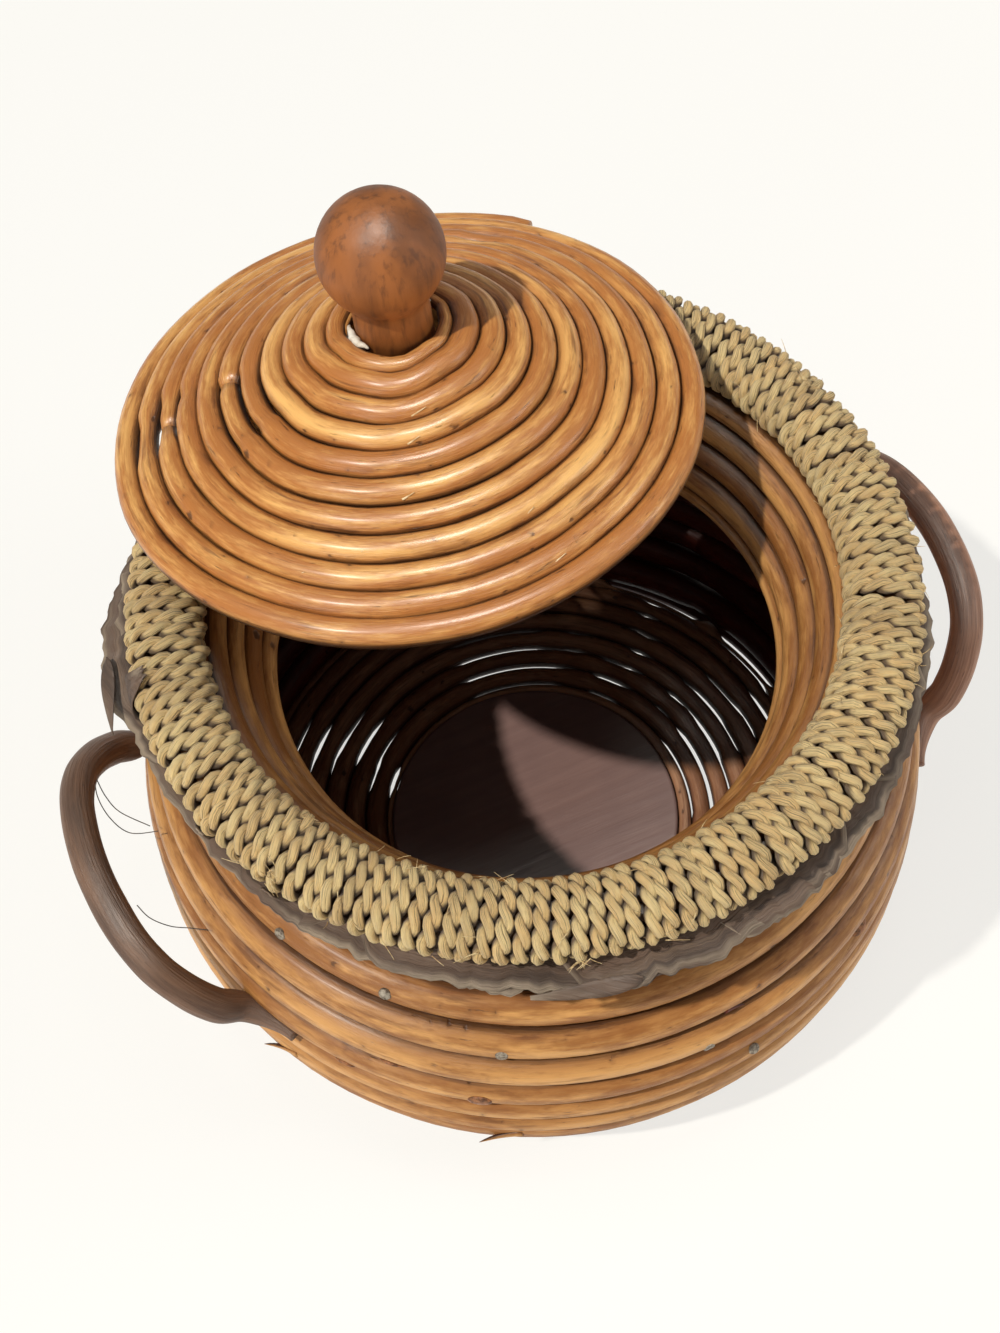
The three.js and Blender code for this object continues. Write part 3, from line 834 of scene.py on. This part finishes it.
def hoopMaterial():
    material, tree, shader = newMaterial("hoopReed")
    spot = objectSpot(tree)
    cloud = noiseValue(tree, spot, 60.0, 4.0, 0.6)
    fibre = drawn(tree, spot, (90, 90, 700))
    colour = layer(tree, srgb(150, 104, 62), cloud, 0.35, 0.7, 1.0, srgb(104, 66, 36))
    colour = layer(tree, colour, fibre, 0.5, 0.75, 0.5, srgb(72, 42, 22))
    paint(tree, shader, colour, cloud, 0.45, 0.65)
    bumpInto(tree, shader, fibre, 0.0004)
    return material


hoopFinish = hoopMaterial()
dress("rim_hoop_inner", hoopFinish)
dress("rim_hoop_outer", hoopFinish)

leafSettings = {
    "strips": 13,
    "overlap": 14,  # degrees
    "thickness": 0.45,
    "innerRadius": 112,
    "top": 181.3,
    "droop": 6,
    # how far out the leaf shows: azimuth and radius
    "reach": [
        (-180, 138.5), (-172, 137.8), (-165, 136.8), (-150, 136.4), (-140, 137), (-125, 138.6),
        (-112, 140.5), (-100, 142), (-84, 141), (-70, 139.4), (-45, 137.8), (-20, 138.2), (6, 140.5),
        (40, 139.5), (90, 139), (130, 139.8), (143, 141.6), (152, 143.4), (160, 145.4), (170, 145),
        (172.5, 141), (175, 138),
    ],
    # torn flaps that stand up beside the cord: azimuth, half width, climb round the cord, lean
    "flaps": [(174.5, 3.3, 134, -2.6), (-165.5, 2.4, 60, 2.0), (-149, 2.6, 66, -1.6), (18, 2.6, 50, 1.5)],
    "flapFoot": -75,  # degrees round the cord
    # torn tips along the rim: from azimuth, to azimuth, radius, half width
    "tips": [(-99, -113.5, 140.2, 2.4), (163, 175, 143.4, 2.4)],
    "tipHeight": 177.6,
    "grainRadius": 0.13,  # metres round the rim for one radian of grain
    "grainWidth": 0.027,
    "seed": 23,
}


def leafMaterial():
    material, tree, shader = newMaterial("driedLeaf")
    lay = attribute(tree, "lay")
    rib = drawn(tree, lay, (30, 2200, 1), 4.0, 0.6)
    cloud = drawn(tree, lay, (22, 180, 1), 4.0, 0.6)
    fold = drawn(tree, lay, (9, 420, 1), 2.0)
    across = addNode(tree, "ShaderNodeSeparateXYZ", {0: lay}).outputs[1]
    colour = layer(tree, srgb(104, 82, 67), cloud, 0.35, 0.68, 1.0, srgb(64, 48, 38))
    colour = layer(tree, colour, rib, 0.5, 0.72, 0.65, srgb(56, 42, 34))
    colour = layer(tree, colour, fold, 0.54, 0.74, 0.4, srgb(144, 121, 100))
    torn = times(tree, remap(tree, across, 0.0235, 0.0268), remap(tree, cloud, 0.4, 0.6, 0.0, 0.8))
    colour = mixColours(tree, torn, colour, srgb(172, 154, 132))  # pale fibres along a torn edge
    paint(tree, shader, colour, cloud, 0.5, 0.75)
    bumpInto(tree, shader, weighted(tree, (rib, 1.0), (fold, 0.6)), 0.0008)
    return material


def leafReach(settings, azimuth):
    places, radii = zip(*settings["reach"])
    return float(np.interp(azimuth, places, radii, period=360))


def shapeStrip(settings, verts, grain, strip, chance):  # one strip laid under the cord
    middle = 360 / settings["strips"] * strip + chance.uniform(-5, 5)
    half = 180 / settings["strips"] + settings["overlap"] * chance.uniform(0.6, 1.2)
    low = chance.uniform(-0.9, 0.4)
    short = chance.uniform(-1.6, 0.6)
    tear = chance.uniform(0.05, 0.2)
    for vert in verts:
        along, across = (vert.co.x + 1) / 2, (vert.co.y + 1) / 2
        degrees = middle + half * vert.co.x
        azimuth = math.radians(degrees)
        rag = 0.08 * wave(strip * 3.7, azimuth * 9) + 0.06 * wave(strip * 5.1, azimuth * 33)
        ends = min(ease(along / tear), ease((1 - along) / (tear * 1.4)))
        width = (0.62 + 0.38 * ends + rag) * across
        ripple = 1.1 * wave(strip * 2.2, azimuth * 8, across * 1.7)
        ripple += 0.5 * wave(strip, azimuth * 23, across * 3)
        reach = leafReach(settings, degrees) + short - settings["innerRadius"]
        height = settings["top"] + low - settings["droop"] * width ** 2.6 + ripple * across
        vert.co = ringPoint(settings["innerRadius"] + reach * width, azimuth, height) * mm
        vert[grain] = (azimuth * settings["grainRadius"] + strip, across * settings["grainWidth"], 0)


def shapeFlap(settings, verts, grain, count, middle, half, climb, lean):
    for vert in verts:
        x, up = vert.co.x, (vert.co.y + 1) / 2
        side = x * half * (1.05 - 0.75 * up ** 2) + lean * up + 0.5 * wave(up * 4, count * 3.1)
        azimuth = math.radians(middle + side)
        bend = math.radians(settings["flapFoot"] + climb * up)
        bend -= math.radians(9) * wave(x * 2.3, count * 5.3) * up
        stand = 0.7 + 0.6 * wave(up * 3, x * 2, count * 1.7) + 0.5 * up
        radius = rimRadius + (rimSettings["halfWidth"] + stand) * math.cos(bend)
        height = rimHeight + (rimSettings["halfHeight"] + stand) * math.sin(bend)
        vert[grain] = (azimuth * settings["grainRadius"] + x * 0.012, 0.012 + 0.015 * up, 0)
        vert.co = ringPoint(radius, azimuth, height) * mm


def shapeTip(settings, verts, grain, count, low, high, middle, half):
    for vert in verts:
        along, y = (vert.co.x + 1) / 2, vert.co.y
        azimuth = math.radians(low + (high - low) * along)
        radius = middle + y * half * (0.04 + math.sin(math.pi * along ** 0.6)) + 1.6 * along ** 2
        height = settings["tipHeight"] - 1.3 * y + 0.6 * wave(along * 5, y, count * 2.9) + 1.4 * along
        vert[grain] = (azimuth * settings["grainRadius"], 0.0215 + 0.005 * along + 0.0008 * y, 0)
        vert.co = ringPoint(radius, azimuth, height) * mm


def makeLeaf(settings, material):
    chance = random.Random(settings["seed"])
    joined = bmesh.new()
    grain = joined.verts.layers.float_vector.new("lay")

    def sheet(across, along):
        return bmesh.ops.create_grid(joined, x_segments=across, y_segments=along, size=1)["verts"]

    for strip in range(settings["strips"]):
        shapeStrip(settings, sheet(72, 9), grain, strip, chance)
    for count, flap in enumerate(settings["flaps"]):
        shapeFlap(settings, sheet(8, 10), grain, count, *flap)
    for count, tip in enumerate(settings["tips"]):
        shapeTip(settings, sheet(16, 4), grain, count, *tip)
    bmesh.ops.recalc_face_normals(joined, faces=joined.faces)
    bmesh.ops.solidify(joined, geom=list(joined.faces), thickness=settings["thickness"] * mm)
    addPiece("rimLeaf", toMesh(joined, "rimLeaf"), "basket", material, ["rim_leaf"])


makeLeaf(leafSettings, leafMaterial())
print("rim bound with cord over its leaf")

# Handles
handleSettings = {
    "radius": 6.3,
    "footRadius": 152.1,
    "footSpread": 30.8,
    "footLength": 20,
    "footHeight": 84.5,
    "standOff": 18.5,
    "rise": 35.5,
    "heelRise": 0.06,  # share of the rise
    "loop": [(0.71, 0.94, 0.27), (0.46, 0.84, 0.52), (0.23, 0.67, 0.76), (0.07, 0.4, 0.93)],
    "loopTilt": 50,  # degrees
    "steps": 150,
    "leftInset": 0.4,
    "paring": 0.66,  # the feet are pared down where they are nailed
    "paredSteps": 22,
}


def handleLine(settings):
    low, rise = settings["footHeight"], settings["rise"]
    foot = math.radians(settings["footSpread"])
    heel = foot - settings["footLength"] / settings["footRadius"]
    heelX, heelY = settings["footRadius"] * math.cos(heel), settings["footRadius"] * math.sin(heel)
    reach = settings["footRadius"] + settings["standOff"]
    half = [
        (settings["footRadius"] * math.cos(foot), settings["footRadius"] * math.sin(foot), low),
        (heelX, heelY, low + rise * settings["heelRise"]),
    ]
    for inward, width, up in settings["loop"]:
        half.append((reach - (reach - heelX) * inward, heelY * width, low + rise * up))
    other = [(x, -y, z) for x, y, z in reversed(half)]
    line, lengths = splineThrough([*half, (reach, 0, low + rise), *other])
    at = np.linspace(0, lengths[-1], settings["steps"])
    return np.c_[[np.interp(at, lengths, line[:, k]) for k in range(3)]].T


def caneMaterial(name, light, dark):
    material, tree, shader = newMaterial(name, {"Coat Weight": 0.12, "Coat Roughness": 0.35})
    lay = attribute(tree, "lay")
    fibre = drawn(tree, lay, (8, 8, 42), 4.0, 0.6)
    cloud = drawn(tree, lay, (1.2, 1.2, 26), 4.0, 0.6)
    speck = drawn(tree, lay, (11, 11, 190), 2.0)
    colour = layer(tree, light, cloud, 0.34, 0.7, 1.0, dark)
    colour = layer(tree, colour, fibre, 0.5, 0.75, 0.5, srgb(82, 50, 36))
    colour = layer(tree, colour, speck, 0.66, 0.74, 0.7, srgb(48, 28, 20))
    paint(tree, shader, colour, cloud, 0.42, 0.62)
    bumpInto(tree, shader, fibre, 0.0006)
    return material


def makeHandle(settings, node, turned, material):
    line = handleLine(settings)
    points, radii = [], []
    for k, spot in enumerate(line):
        point = Vector(spot)
        if turned:
            point = Vector((settings["leftInset"] - point.x, -point.y, point.z))
        end = min(k, len(line) - 1 - k)
        pared = 1 - settings["paring"] * (1 - ease(end / settings["paredSteps"]))
        point -= Vector((point.x, point.y, 0)).normalized() * settings["radius"] * (1 - pared)
        points.append(point)
        radii.append(settings["radius"] * pared * (1 + 0.02 * wave(k * 0.09, turned * 5 + 1)))
    tilt = math.radians(settings["loopTilt"])
    side = Vector((math.sin(tilt) if turned else -math.sin(tilt), 0, math.cos(tilt)))
    name = pieceName(node)
    mesh = sweep(name, points, [side] * len(points), radii, resolution=6)
    addPiece(name, mesh, "basket", material, [node])


# The right handle's paler cane: partly its own redder cane, partly painted light for the rim's shade it
# sits in
paleLitCane = caneMaterial("paleLitCane", srgb(174, 126, 98), srgb(130, 88, 66))
darkCane = caneMaterial("darkCane", srgb(120, 88, 66), srgb(84, 59, 43))
makeHandle(handleSettings, "handle_right", 0, paleLitCane)
makeHandle(handleSettings, "handle_left", 1, darkCane)
print("handles bent")

# Nails, bud scars, splinters, loose fibres and stray hairs, with places as azimuth and height
nailSettings = {
    "radius": 2.6,
    "topShare": 0.75,
    "depth": 1.2,
    "stand": 0.15,
    "places": [
        (-154, 128.4), (-135.1, 138.2), (-135.5, 128.2), (-118.1, 114.9), (-89.3, 99.4), (-81.8, 75.5),
    ],
}
budSettings = {
    "size": (4.6, 3.4, 1.3),
    "places": [(-140.9, 84.6), (-133.8, 96.7), (-121.3, 87.6), (-60, 92), (-25, 108), (70, 90)],
}
splinterSettings = {
    "radius": 1.5,
    "tip": 0.12,
    "wallRadius": 141,
    "fall": 2.5,
    "sunk": 0.6,
    # azimuth, height, length and how far the tip stands off
    "places": [(-116, 47, -15, 4.0), (-152, 49, -12, 4.5), (-150, 62, -9, 2.5), (-86, 112, 8, 2.2)],
    "steps": 8,
}
hairSettings = {
    "count": 60,
    "span": (-158, 22),  # azimuths that the lid doesn't lie over
    "wraps": (-20, 190),  # degrees round the cord's bed
    "radius": 0.15,
    "length": (3.5, 8),
    "curl": (-2, 2),
    "rise": 2.4,
    "sunk": 0.9,
    "frayed": [(-106, -18, 12), (-150, 30, 7), (14, 70, 6)],  # azimuth, degrees round the bed, hairs
    "frayedSpread": (1.2, 9),  # degrees to each side
    "steps": 6,
    "seed": 31,
}
fibreSettings = {
    "radius": 0.2,
    "lines": [
        [
            (-157.3, 40.4, 112), (-160, 32.6, 108), (-158.7, 22.7, 106), (-153.8, 12.8, 108),
            (-144.1, 5, 116),
        ],
        [(-157.9, 36.2, 112), (-157.2, 29.5, 110.2), (-154.4, 21.3, 110), (-146.1, 8.2, 116)],
        [
            (-161.2, -10.4, 98), (-158.6, -16.2, 96), (-152.9, -23.2, 98), (-146.4, -29.7, 104),
            (-140.7, -35.8, 110),
        ],
    ],
    "perSpan": 12,
    "sideways": Vector((0.3, 0.2, 1)),
}


def onWall(azimuth, height):  # the nearest spot on a wall reed's outer face, and the way out of it
    first = (wallReeds["firstAngle"] - azimuth) / 360 % 1
    turns = [first + lap for lap in range(wallReeds["turns"])]
    turn = min(turns, key=lambda each: abs(wallPlace(coilOffset(wallReeds, each))[0][1] - height))
    (radius, middle), (wayOut, wayUp) = wallPlace(coilOffset(wallReeds, turn))
    thick = reedRadiusAt(wallReeds, turn)
    tilt = math.asin(min(max((height - middle) / thick, -0.8), 0.8))
    outR = wayUp * math.cos(tilt) + wayOut * math.sin(tilt)
    outZ = -wayOut * math.cos(tilt) + wayUp * math.sin(tilt)
    angle = math.radians(azimuth)
    out = ringPoint(outR, angle, outZ)
    return ringPoint(radius, angle, middle) + out * thick, out


def makeNails(settings, material):
    bm = bmesh.new()
    for azimuth, height in settings["places"]:
        spot, out = onWall(azimuth, height)
        turned = out.to_track_quat("Z", "Y").to_matrix().to_4x4()
        bmesh.ops.create_cone(
            bm, cap_ends=True, segments=16, radius1=settings["radius"] * mm,
            radius2=settings["radius"] * settings["topShare"] * mm, depth=settings["depth"] * mm,
            matrix=Matrix.Translation((spot + out * settings["stand"]) * mm) @ turned,
        )
    addPiece("wallNails", toMesh(bm, "wallNails"), "basket", material)


def makeBuds(settings, material):
    bm = bmesh.new()
    size = Matrix.Diagonal((*(s * mm for s in settings["size"]), 1))
    for azimuth, height in settings["places"]:
        spot, out = onWall(azimuth, height)
        angle = math.radians(azimuth)
        along = Vector((-math.sin(angle), math.cos(angle), 0))
        turned = Matrix((along, out.cross(along), out)).transposed().to_4x4()
        place = Matrix.Translation(spot * mm) @ turned @ size
        bmesh.ops.create_uvsphere(bm, u_segments=18, v_segments=10, radius=1, matrix=place)
    addPiece("wallBuds", toMesh(bm, "wallBuds"), "basket", material)


def makeSplinters(settings, material):
    for count, (azimuth, height, length, stand) in enumerate(settings["places"]):
        points, radii = [], []
        for share in shares(settings["steps"]):
            turned = math.degrees(length * share / settings["wallRadius"])
            spot, out = onWall(azimuth + turned, height - settings["fall"] * share)
            points.append(spot + out * (stand * share ** 2 - settings["sunk"]))
            radii.append(settings["radius"] * (1 - share) ** 0.7 + settings["tip"])
        name = f"wallSplinter{count + 1}"
        mesh = sweep(name, points, [Vector((0, 0, 1))] * len(points), radii, resolution=2)
        addPiece(name, mesh, "basket", material)


def makeFibres(settings, material):
    for count, line in enumerate(settings["lines"]):
        points = splineThrough(line, settings["perSpan"])[0]
        radii = [settings["radius"]] * len(points)
        name = f"looseFibre{count + 1}"
        mesh = sweep(name, points, [settings["sideways"]] * len(points), radii, resolution=1)
        addPiece(name, mesh, "basket", material)


def makeHairs(settings, material):  # stray hairs of the cord
    chance = random.Random(settings["seed"])
    places = []
    for _ in range(settings["count"]):
        places.append((chance.uniform(*settings["span"]), chance.uniform(*settings["wraps"])))
    aside, over = settings["frayedSpread"]
    for azimuth, wrap, count in settings["frayed"]:
        for _ in range(count):
            places.append((azimuth + chance.uniform(-aside, aside), wrap + chance.uniform(-over, over)))
    joined = bmesh.new()
    for azimuth, wrap in places:
        bend = math.radians(wrap)
        outward = ringPoint(1, math.radians(azimuth))
        out = outward * math.cos(bend) + Vector((0, 0, math.sin(bend)))
        spot = outward * (rimRadius + rimSettings["halfWidth"] * math.cos(bend))
        spot.z = rimHeight + rimSettings["halfHeight"] * math.sin(bend)
        turned = chance.uniform(0, 2 * math.pi)
        along = outward.cross(Vector((0, 0, 1)))
        way = along * math.cos(turned) + out.cross(along) * math.sin(turned)
        length = chance.uniform(*settings["length"])
        curl = chance.uniform(*settings["curl"])
        points, radii = [], []
        for share in shares(settings["steps"]):
            lifted = spot + way * length * share + out * (settings["rise"] * share - settings["sunk"])
            points.append(lifted + out.cross(way) * curl * share ** 2)
            radii.append(settings["radius"] * (1.1 - 0.7 * share))
        hair = sweep("cordHair", points, [out] * len(points), radii, resolution=0)
        joined.from_mesh(hair)
        bpy.data.meshes.remove(hair)
    addPiece("cordHairs", toMesh(joined, "cordHairs"), "basket", material)


makeHairs(hairSettings, agedMaterial("cordHair", srgb(240, 218, 166), srgb(176, 138, 88), 500.0))
makeNails(nailSettings, agedMaterial("nailIron", srgb(172, 162, 146), srgb(98, 86, 74), 700.0, 0.3))
makeBuds(budSettings, agedMaterial("budWood", srgb(158, 100, 52), srgb(84, 48, 22), 420.0))
makeSplinters(splinterSettings, wallFinish)
makeFibres(fibreSettings, agedMaterial("darkFibre", srgb(74, 58, 46), srgb(38, 28, 22), 300.0))
print("nails, buds and loose fibres placed")

# Lid
lidSettings = {
    "slope": 26,
    "holeRadius": 15.5,
    "splices": (5.68, 8.67),
    "slide": 70.5,
    "slideAzimuth": 97.9,
    "tip": 9.8,
    "lean": 1.6,
    "lift": 206.013,
}
lidReeds = {
    **plainCoil,
    "turns": 11,
    "steps": 90,
    "gap": 0.5,
    "radius": 4.29,
    "shavedEnd": False,
    "firstAngle": 43,
    "press": 0.36,
    "wobble": 0.3,
    "sway": 1.5,
    "seed": 15.3,
    # gaps between laps: turn inside the gap, half its length in turns, depth on each side
    "slits": [(4.64, 0.05, 0.9), (6.99, 0.018, 1.2), (7.69, 0.014, 1.3), (8.67, 0.02, 1.5)],
}
lidSlope = math.radians(lidSettings["slope"])
lidRise = coilOffset(lidReeds, lidReeds["turns"]) * math.sin(lidSlope)
lidFall = (math.cos(lidSlope), -math.sin(lidSlope))
lidReeds["place"] = straightPlace((lidSettings["holeRadius"], lidRise), lidFall)
push = ringPoint(1, math.radians(lidSettings["slideAzimuth"]))
tipped = Matrix.Rotation(math.radians(lidSettings["tip"]), 4, Vector((-push.y, push.x, 0)))
leant = Matrix.Rotation(math.radians(lidSettings["lean"]), 4, push)
lidMove = push * lidSettings["slide"] + Vector((0, 0, lidSettings["lift"]))
lidPose = Matrix.Translation(lidMove) @ leant @ tipped
lidFinish = reedMaterial("lidReed", lidTones, 0.0, 0.95, 9.02, 0.42)
lidNodes = ("lid_reed_inner", "lid_reed_middle", "lid_reed_outer")
addReeds(lidReeds, lidSettings["splices"], lidNodes, "lid", lidFinish, lidPose)

sliverSettings = {
    "radius": 0.42,
    "steps": 6,
    # turn and length
    "places": [(2.41, 5), (3.42, 4), (5.43, 4), (7.47, 6), (7.35, 5), (8.5, 4), (9.355, 9)],
}
glueSettings = {
    "radius": 14.6,
    "height": 1.6,
    "steps": 24,
    # from azimuth, to azimuth and thickness of each dab round the stem
    "dabs": [(158, 214, 1.5), (12, 34, 0.7)],
}


def addOnLid(name, points, radii, resolution, material):
    mesh = sweep(name, points, [Vector((0, 0, 1))] * len(points), radii, resolution=resolution)
    addPiece(name, mesh, "lid", material)


def makeSlivers(settings, material):  # raised fibres
    for count, (turn, length) in enumerate(settings["places"]):
        points, radii = [], []
        for share in shares(settings["steps"]):
            spot = coilOffset(lidReeds, turn) + reedRadiusAt(lidReeds, turn) * (0.75 - 0.3 * share)
            (radius, height), (wayOut, wayUp) = lidReeds["place"](spot)
            angle = math.radians(lidReeds["firstAngle"]) - 2 * math.pi * turn + length * share / radius
            lift = lidReeds["radius"] * (0.72 + 0.16 * share) + 1.1 * share ** 2
            points.append(lidPose @ ringPoint(radius - lift * wayUp, angle, height + lift * wayOut))
            radii.append(settings["radius"] * (1.1 - share) + 0.06)
        addOnLid(f"lidSliver{count + 1}", points, radii, 1, material)


def makeGlue(settings, material):
    for count, (low, high, thick) in enumerate(settings["dabs"]):
        points, radii = [], []
        for share in shares(settings["steps"]):
            angle = math.radians(low + (high - low) * share)
            radius = settings["radius"] + 0.4 * wave(share * 5, count)
            height = lidRise + settings["height"] + 0.7 * wave(share * 4, count * 2.3)
            points.append(lidPose @ ringPoint(radius, angle, height))
            bulge = 0.25 + 0.75 * math.sin(math.pi * share)
            radii.append(thick * bulge * (1 + 0.3 * wave(share * 9, count + 4)))
        addOnLid(f"glueDab{count + 1}", points, radii, 2, material)


makeSlivers(sliverSettings, agedMaterial("paleSliver", srgb(240, 218, 174), srgb(206, 170, 118), 600.0))
makeGlue(glueSettings, agedMaterial("driedGlue", srgb(246, 241, 230), srgb(214, 204, 186), 260.0))
print("lid coiled")

# Knob, bar and screw
knobSettings = {
    "ball": 21.1,
    "middle": 73.3,
    "stem": 13,
    "barLength": 44,
    "boreRadius": 2.3,
    "boreDepth": 16.3,
    "edge": 1,
    "neck": [(0, 3.5), (0.15, 1.2)],  # how much wider than the stem, how far under the ball
    "segments": 96,
    "ballSteps": 24,
}


def knobMaterial():
    fixed = {"Coat Weight": 0.03, "Coat Roughness": 0.4, "Specular IOR Level": 0.35}
    material, tree, shader = newMaterial("knobWood", fixed)
    centre = lidPose @ Vector((0, 0, knobSettings["middle"])) * mm
    local = stretched(tree, objectSpot(tree), (1, 1, 1), tuple(-centre))
    grain = drawn(tree, local, (330, 330, 46), 4.0, 0.6)
    band = drawn(tree, local, (60, 60, 16))
    patch = noiseValue(tree, local, 70.0, 4.0, 0.6)
    colour = layer(tree, srgb(162, 97, 46), band, 0.36, 0.66, 1.0, srgb(120, 69, 30))
    colour = layer(tree, colour, grain, 0.48, 0.72, 0.6, srgb(84, 49, 28))
    colour = layer(tree, colour, patch, 0.6, 0.75, 0.28, srgb(80, 46, 28))
    paint(tree, shader, colour, patch, 0.46, 0.64)
    bumpInto(tree, shader, grain, 0.0002)
    return material


def makeKnob(settings, material):
    ball, middle, stem = settings["ball"], settings["middle"], settings["stem"]
    slack = (settings["barLength"] / 2 - lidSettings["holeRadius"]) * math.tan(lidSlope)
    bottom = lidRise - slack - lidReeds["radius"] / math.cos(lidSlope)
    bore, boreTop = settings["boreRadius"], bottom + settings["boreDepth"]
    outline = [(0, boreTop), (bore, boreTop), (bore, bottom)]
    outline += [(stem - settings["edge"], bottom), (stem, bottom + settings["edge"])]
    neckAngle = -math.acos(stem / ball)
    joint = middle + ball * math.sin(neckAngle)
    outline += [(stem + wider, joint - under) for wider, under in settings["neck"]]
    steps = settings["ballSteps"]
    for step in range(1, steps + 1):
        angle = neckAngle + (math.pi / 2 - neckAngle) * step / steps
        outline.append((ball * math.cos(angle) if step < steps else 0, middle + ball * math.sin(angle)))
    bm = bmesh.new()
    verts = [bm.verts.new((r * mm, 0, z * mm)) for r, z in outline]
    edges = [bm.edges.new(pair) for pair in zip(verts, verts[1:])]
    bmesh.ops.spin(
        bm, geom=verts + edges, cent=(0, 0, 0), axis=(0, 0, 1), dvec=(0, 0, 0), angle=2 * math.pi,
        steps=settings["segments"], use_merge=True, use_duplicate=False,
    )
    for vert in bm.verts:
        vert.co = lidPose @ (vert.co / mm) * mm
    addPiece("lidKnob", toMesh(bm, "lidKnob"), "lid", material, ["lid_knob"])


knobFinish = knobMaterial()
makeKnob(knobSettings, knobFinish)
dress("lid_knob_bar", knobFinish)


def screwMaterial():
    material, tree, shader = newMaterial("screwSteel", {"Metallic": 1.0})
    tarnish = noiseValue(tree, objectSpot(tree), 900.0, 3.0)
    colour = mixColours(tree, tarnish, srgb(150, 148, 142), srgb(96, 90, 84))
    paint(tree, shader, colour, tarnish, 0.3, 0.55)
    return material


dress("lid_knob_screw", screwMaterial())
print("knob turned")
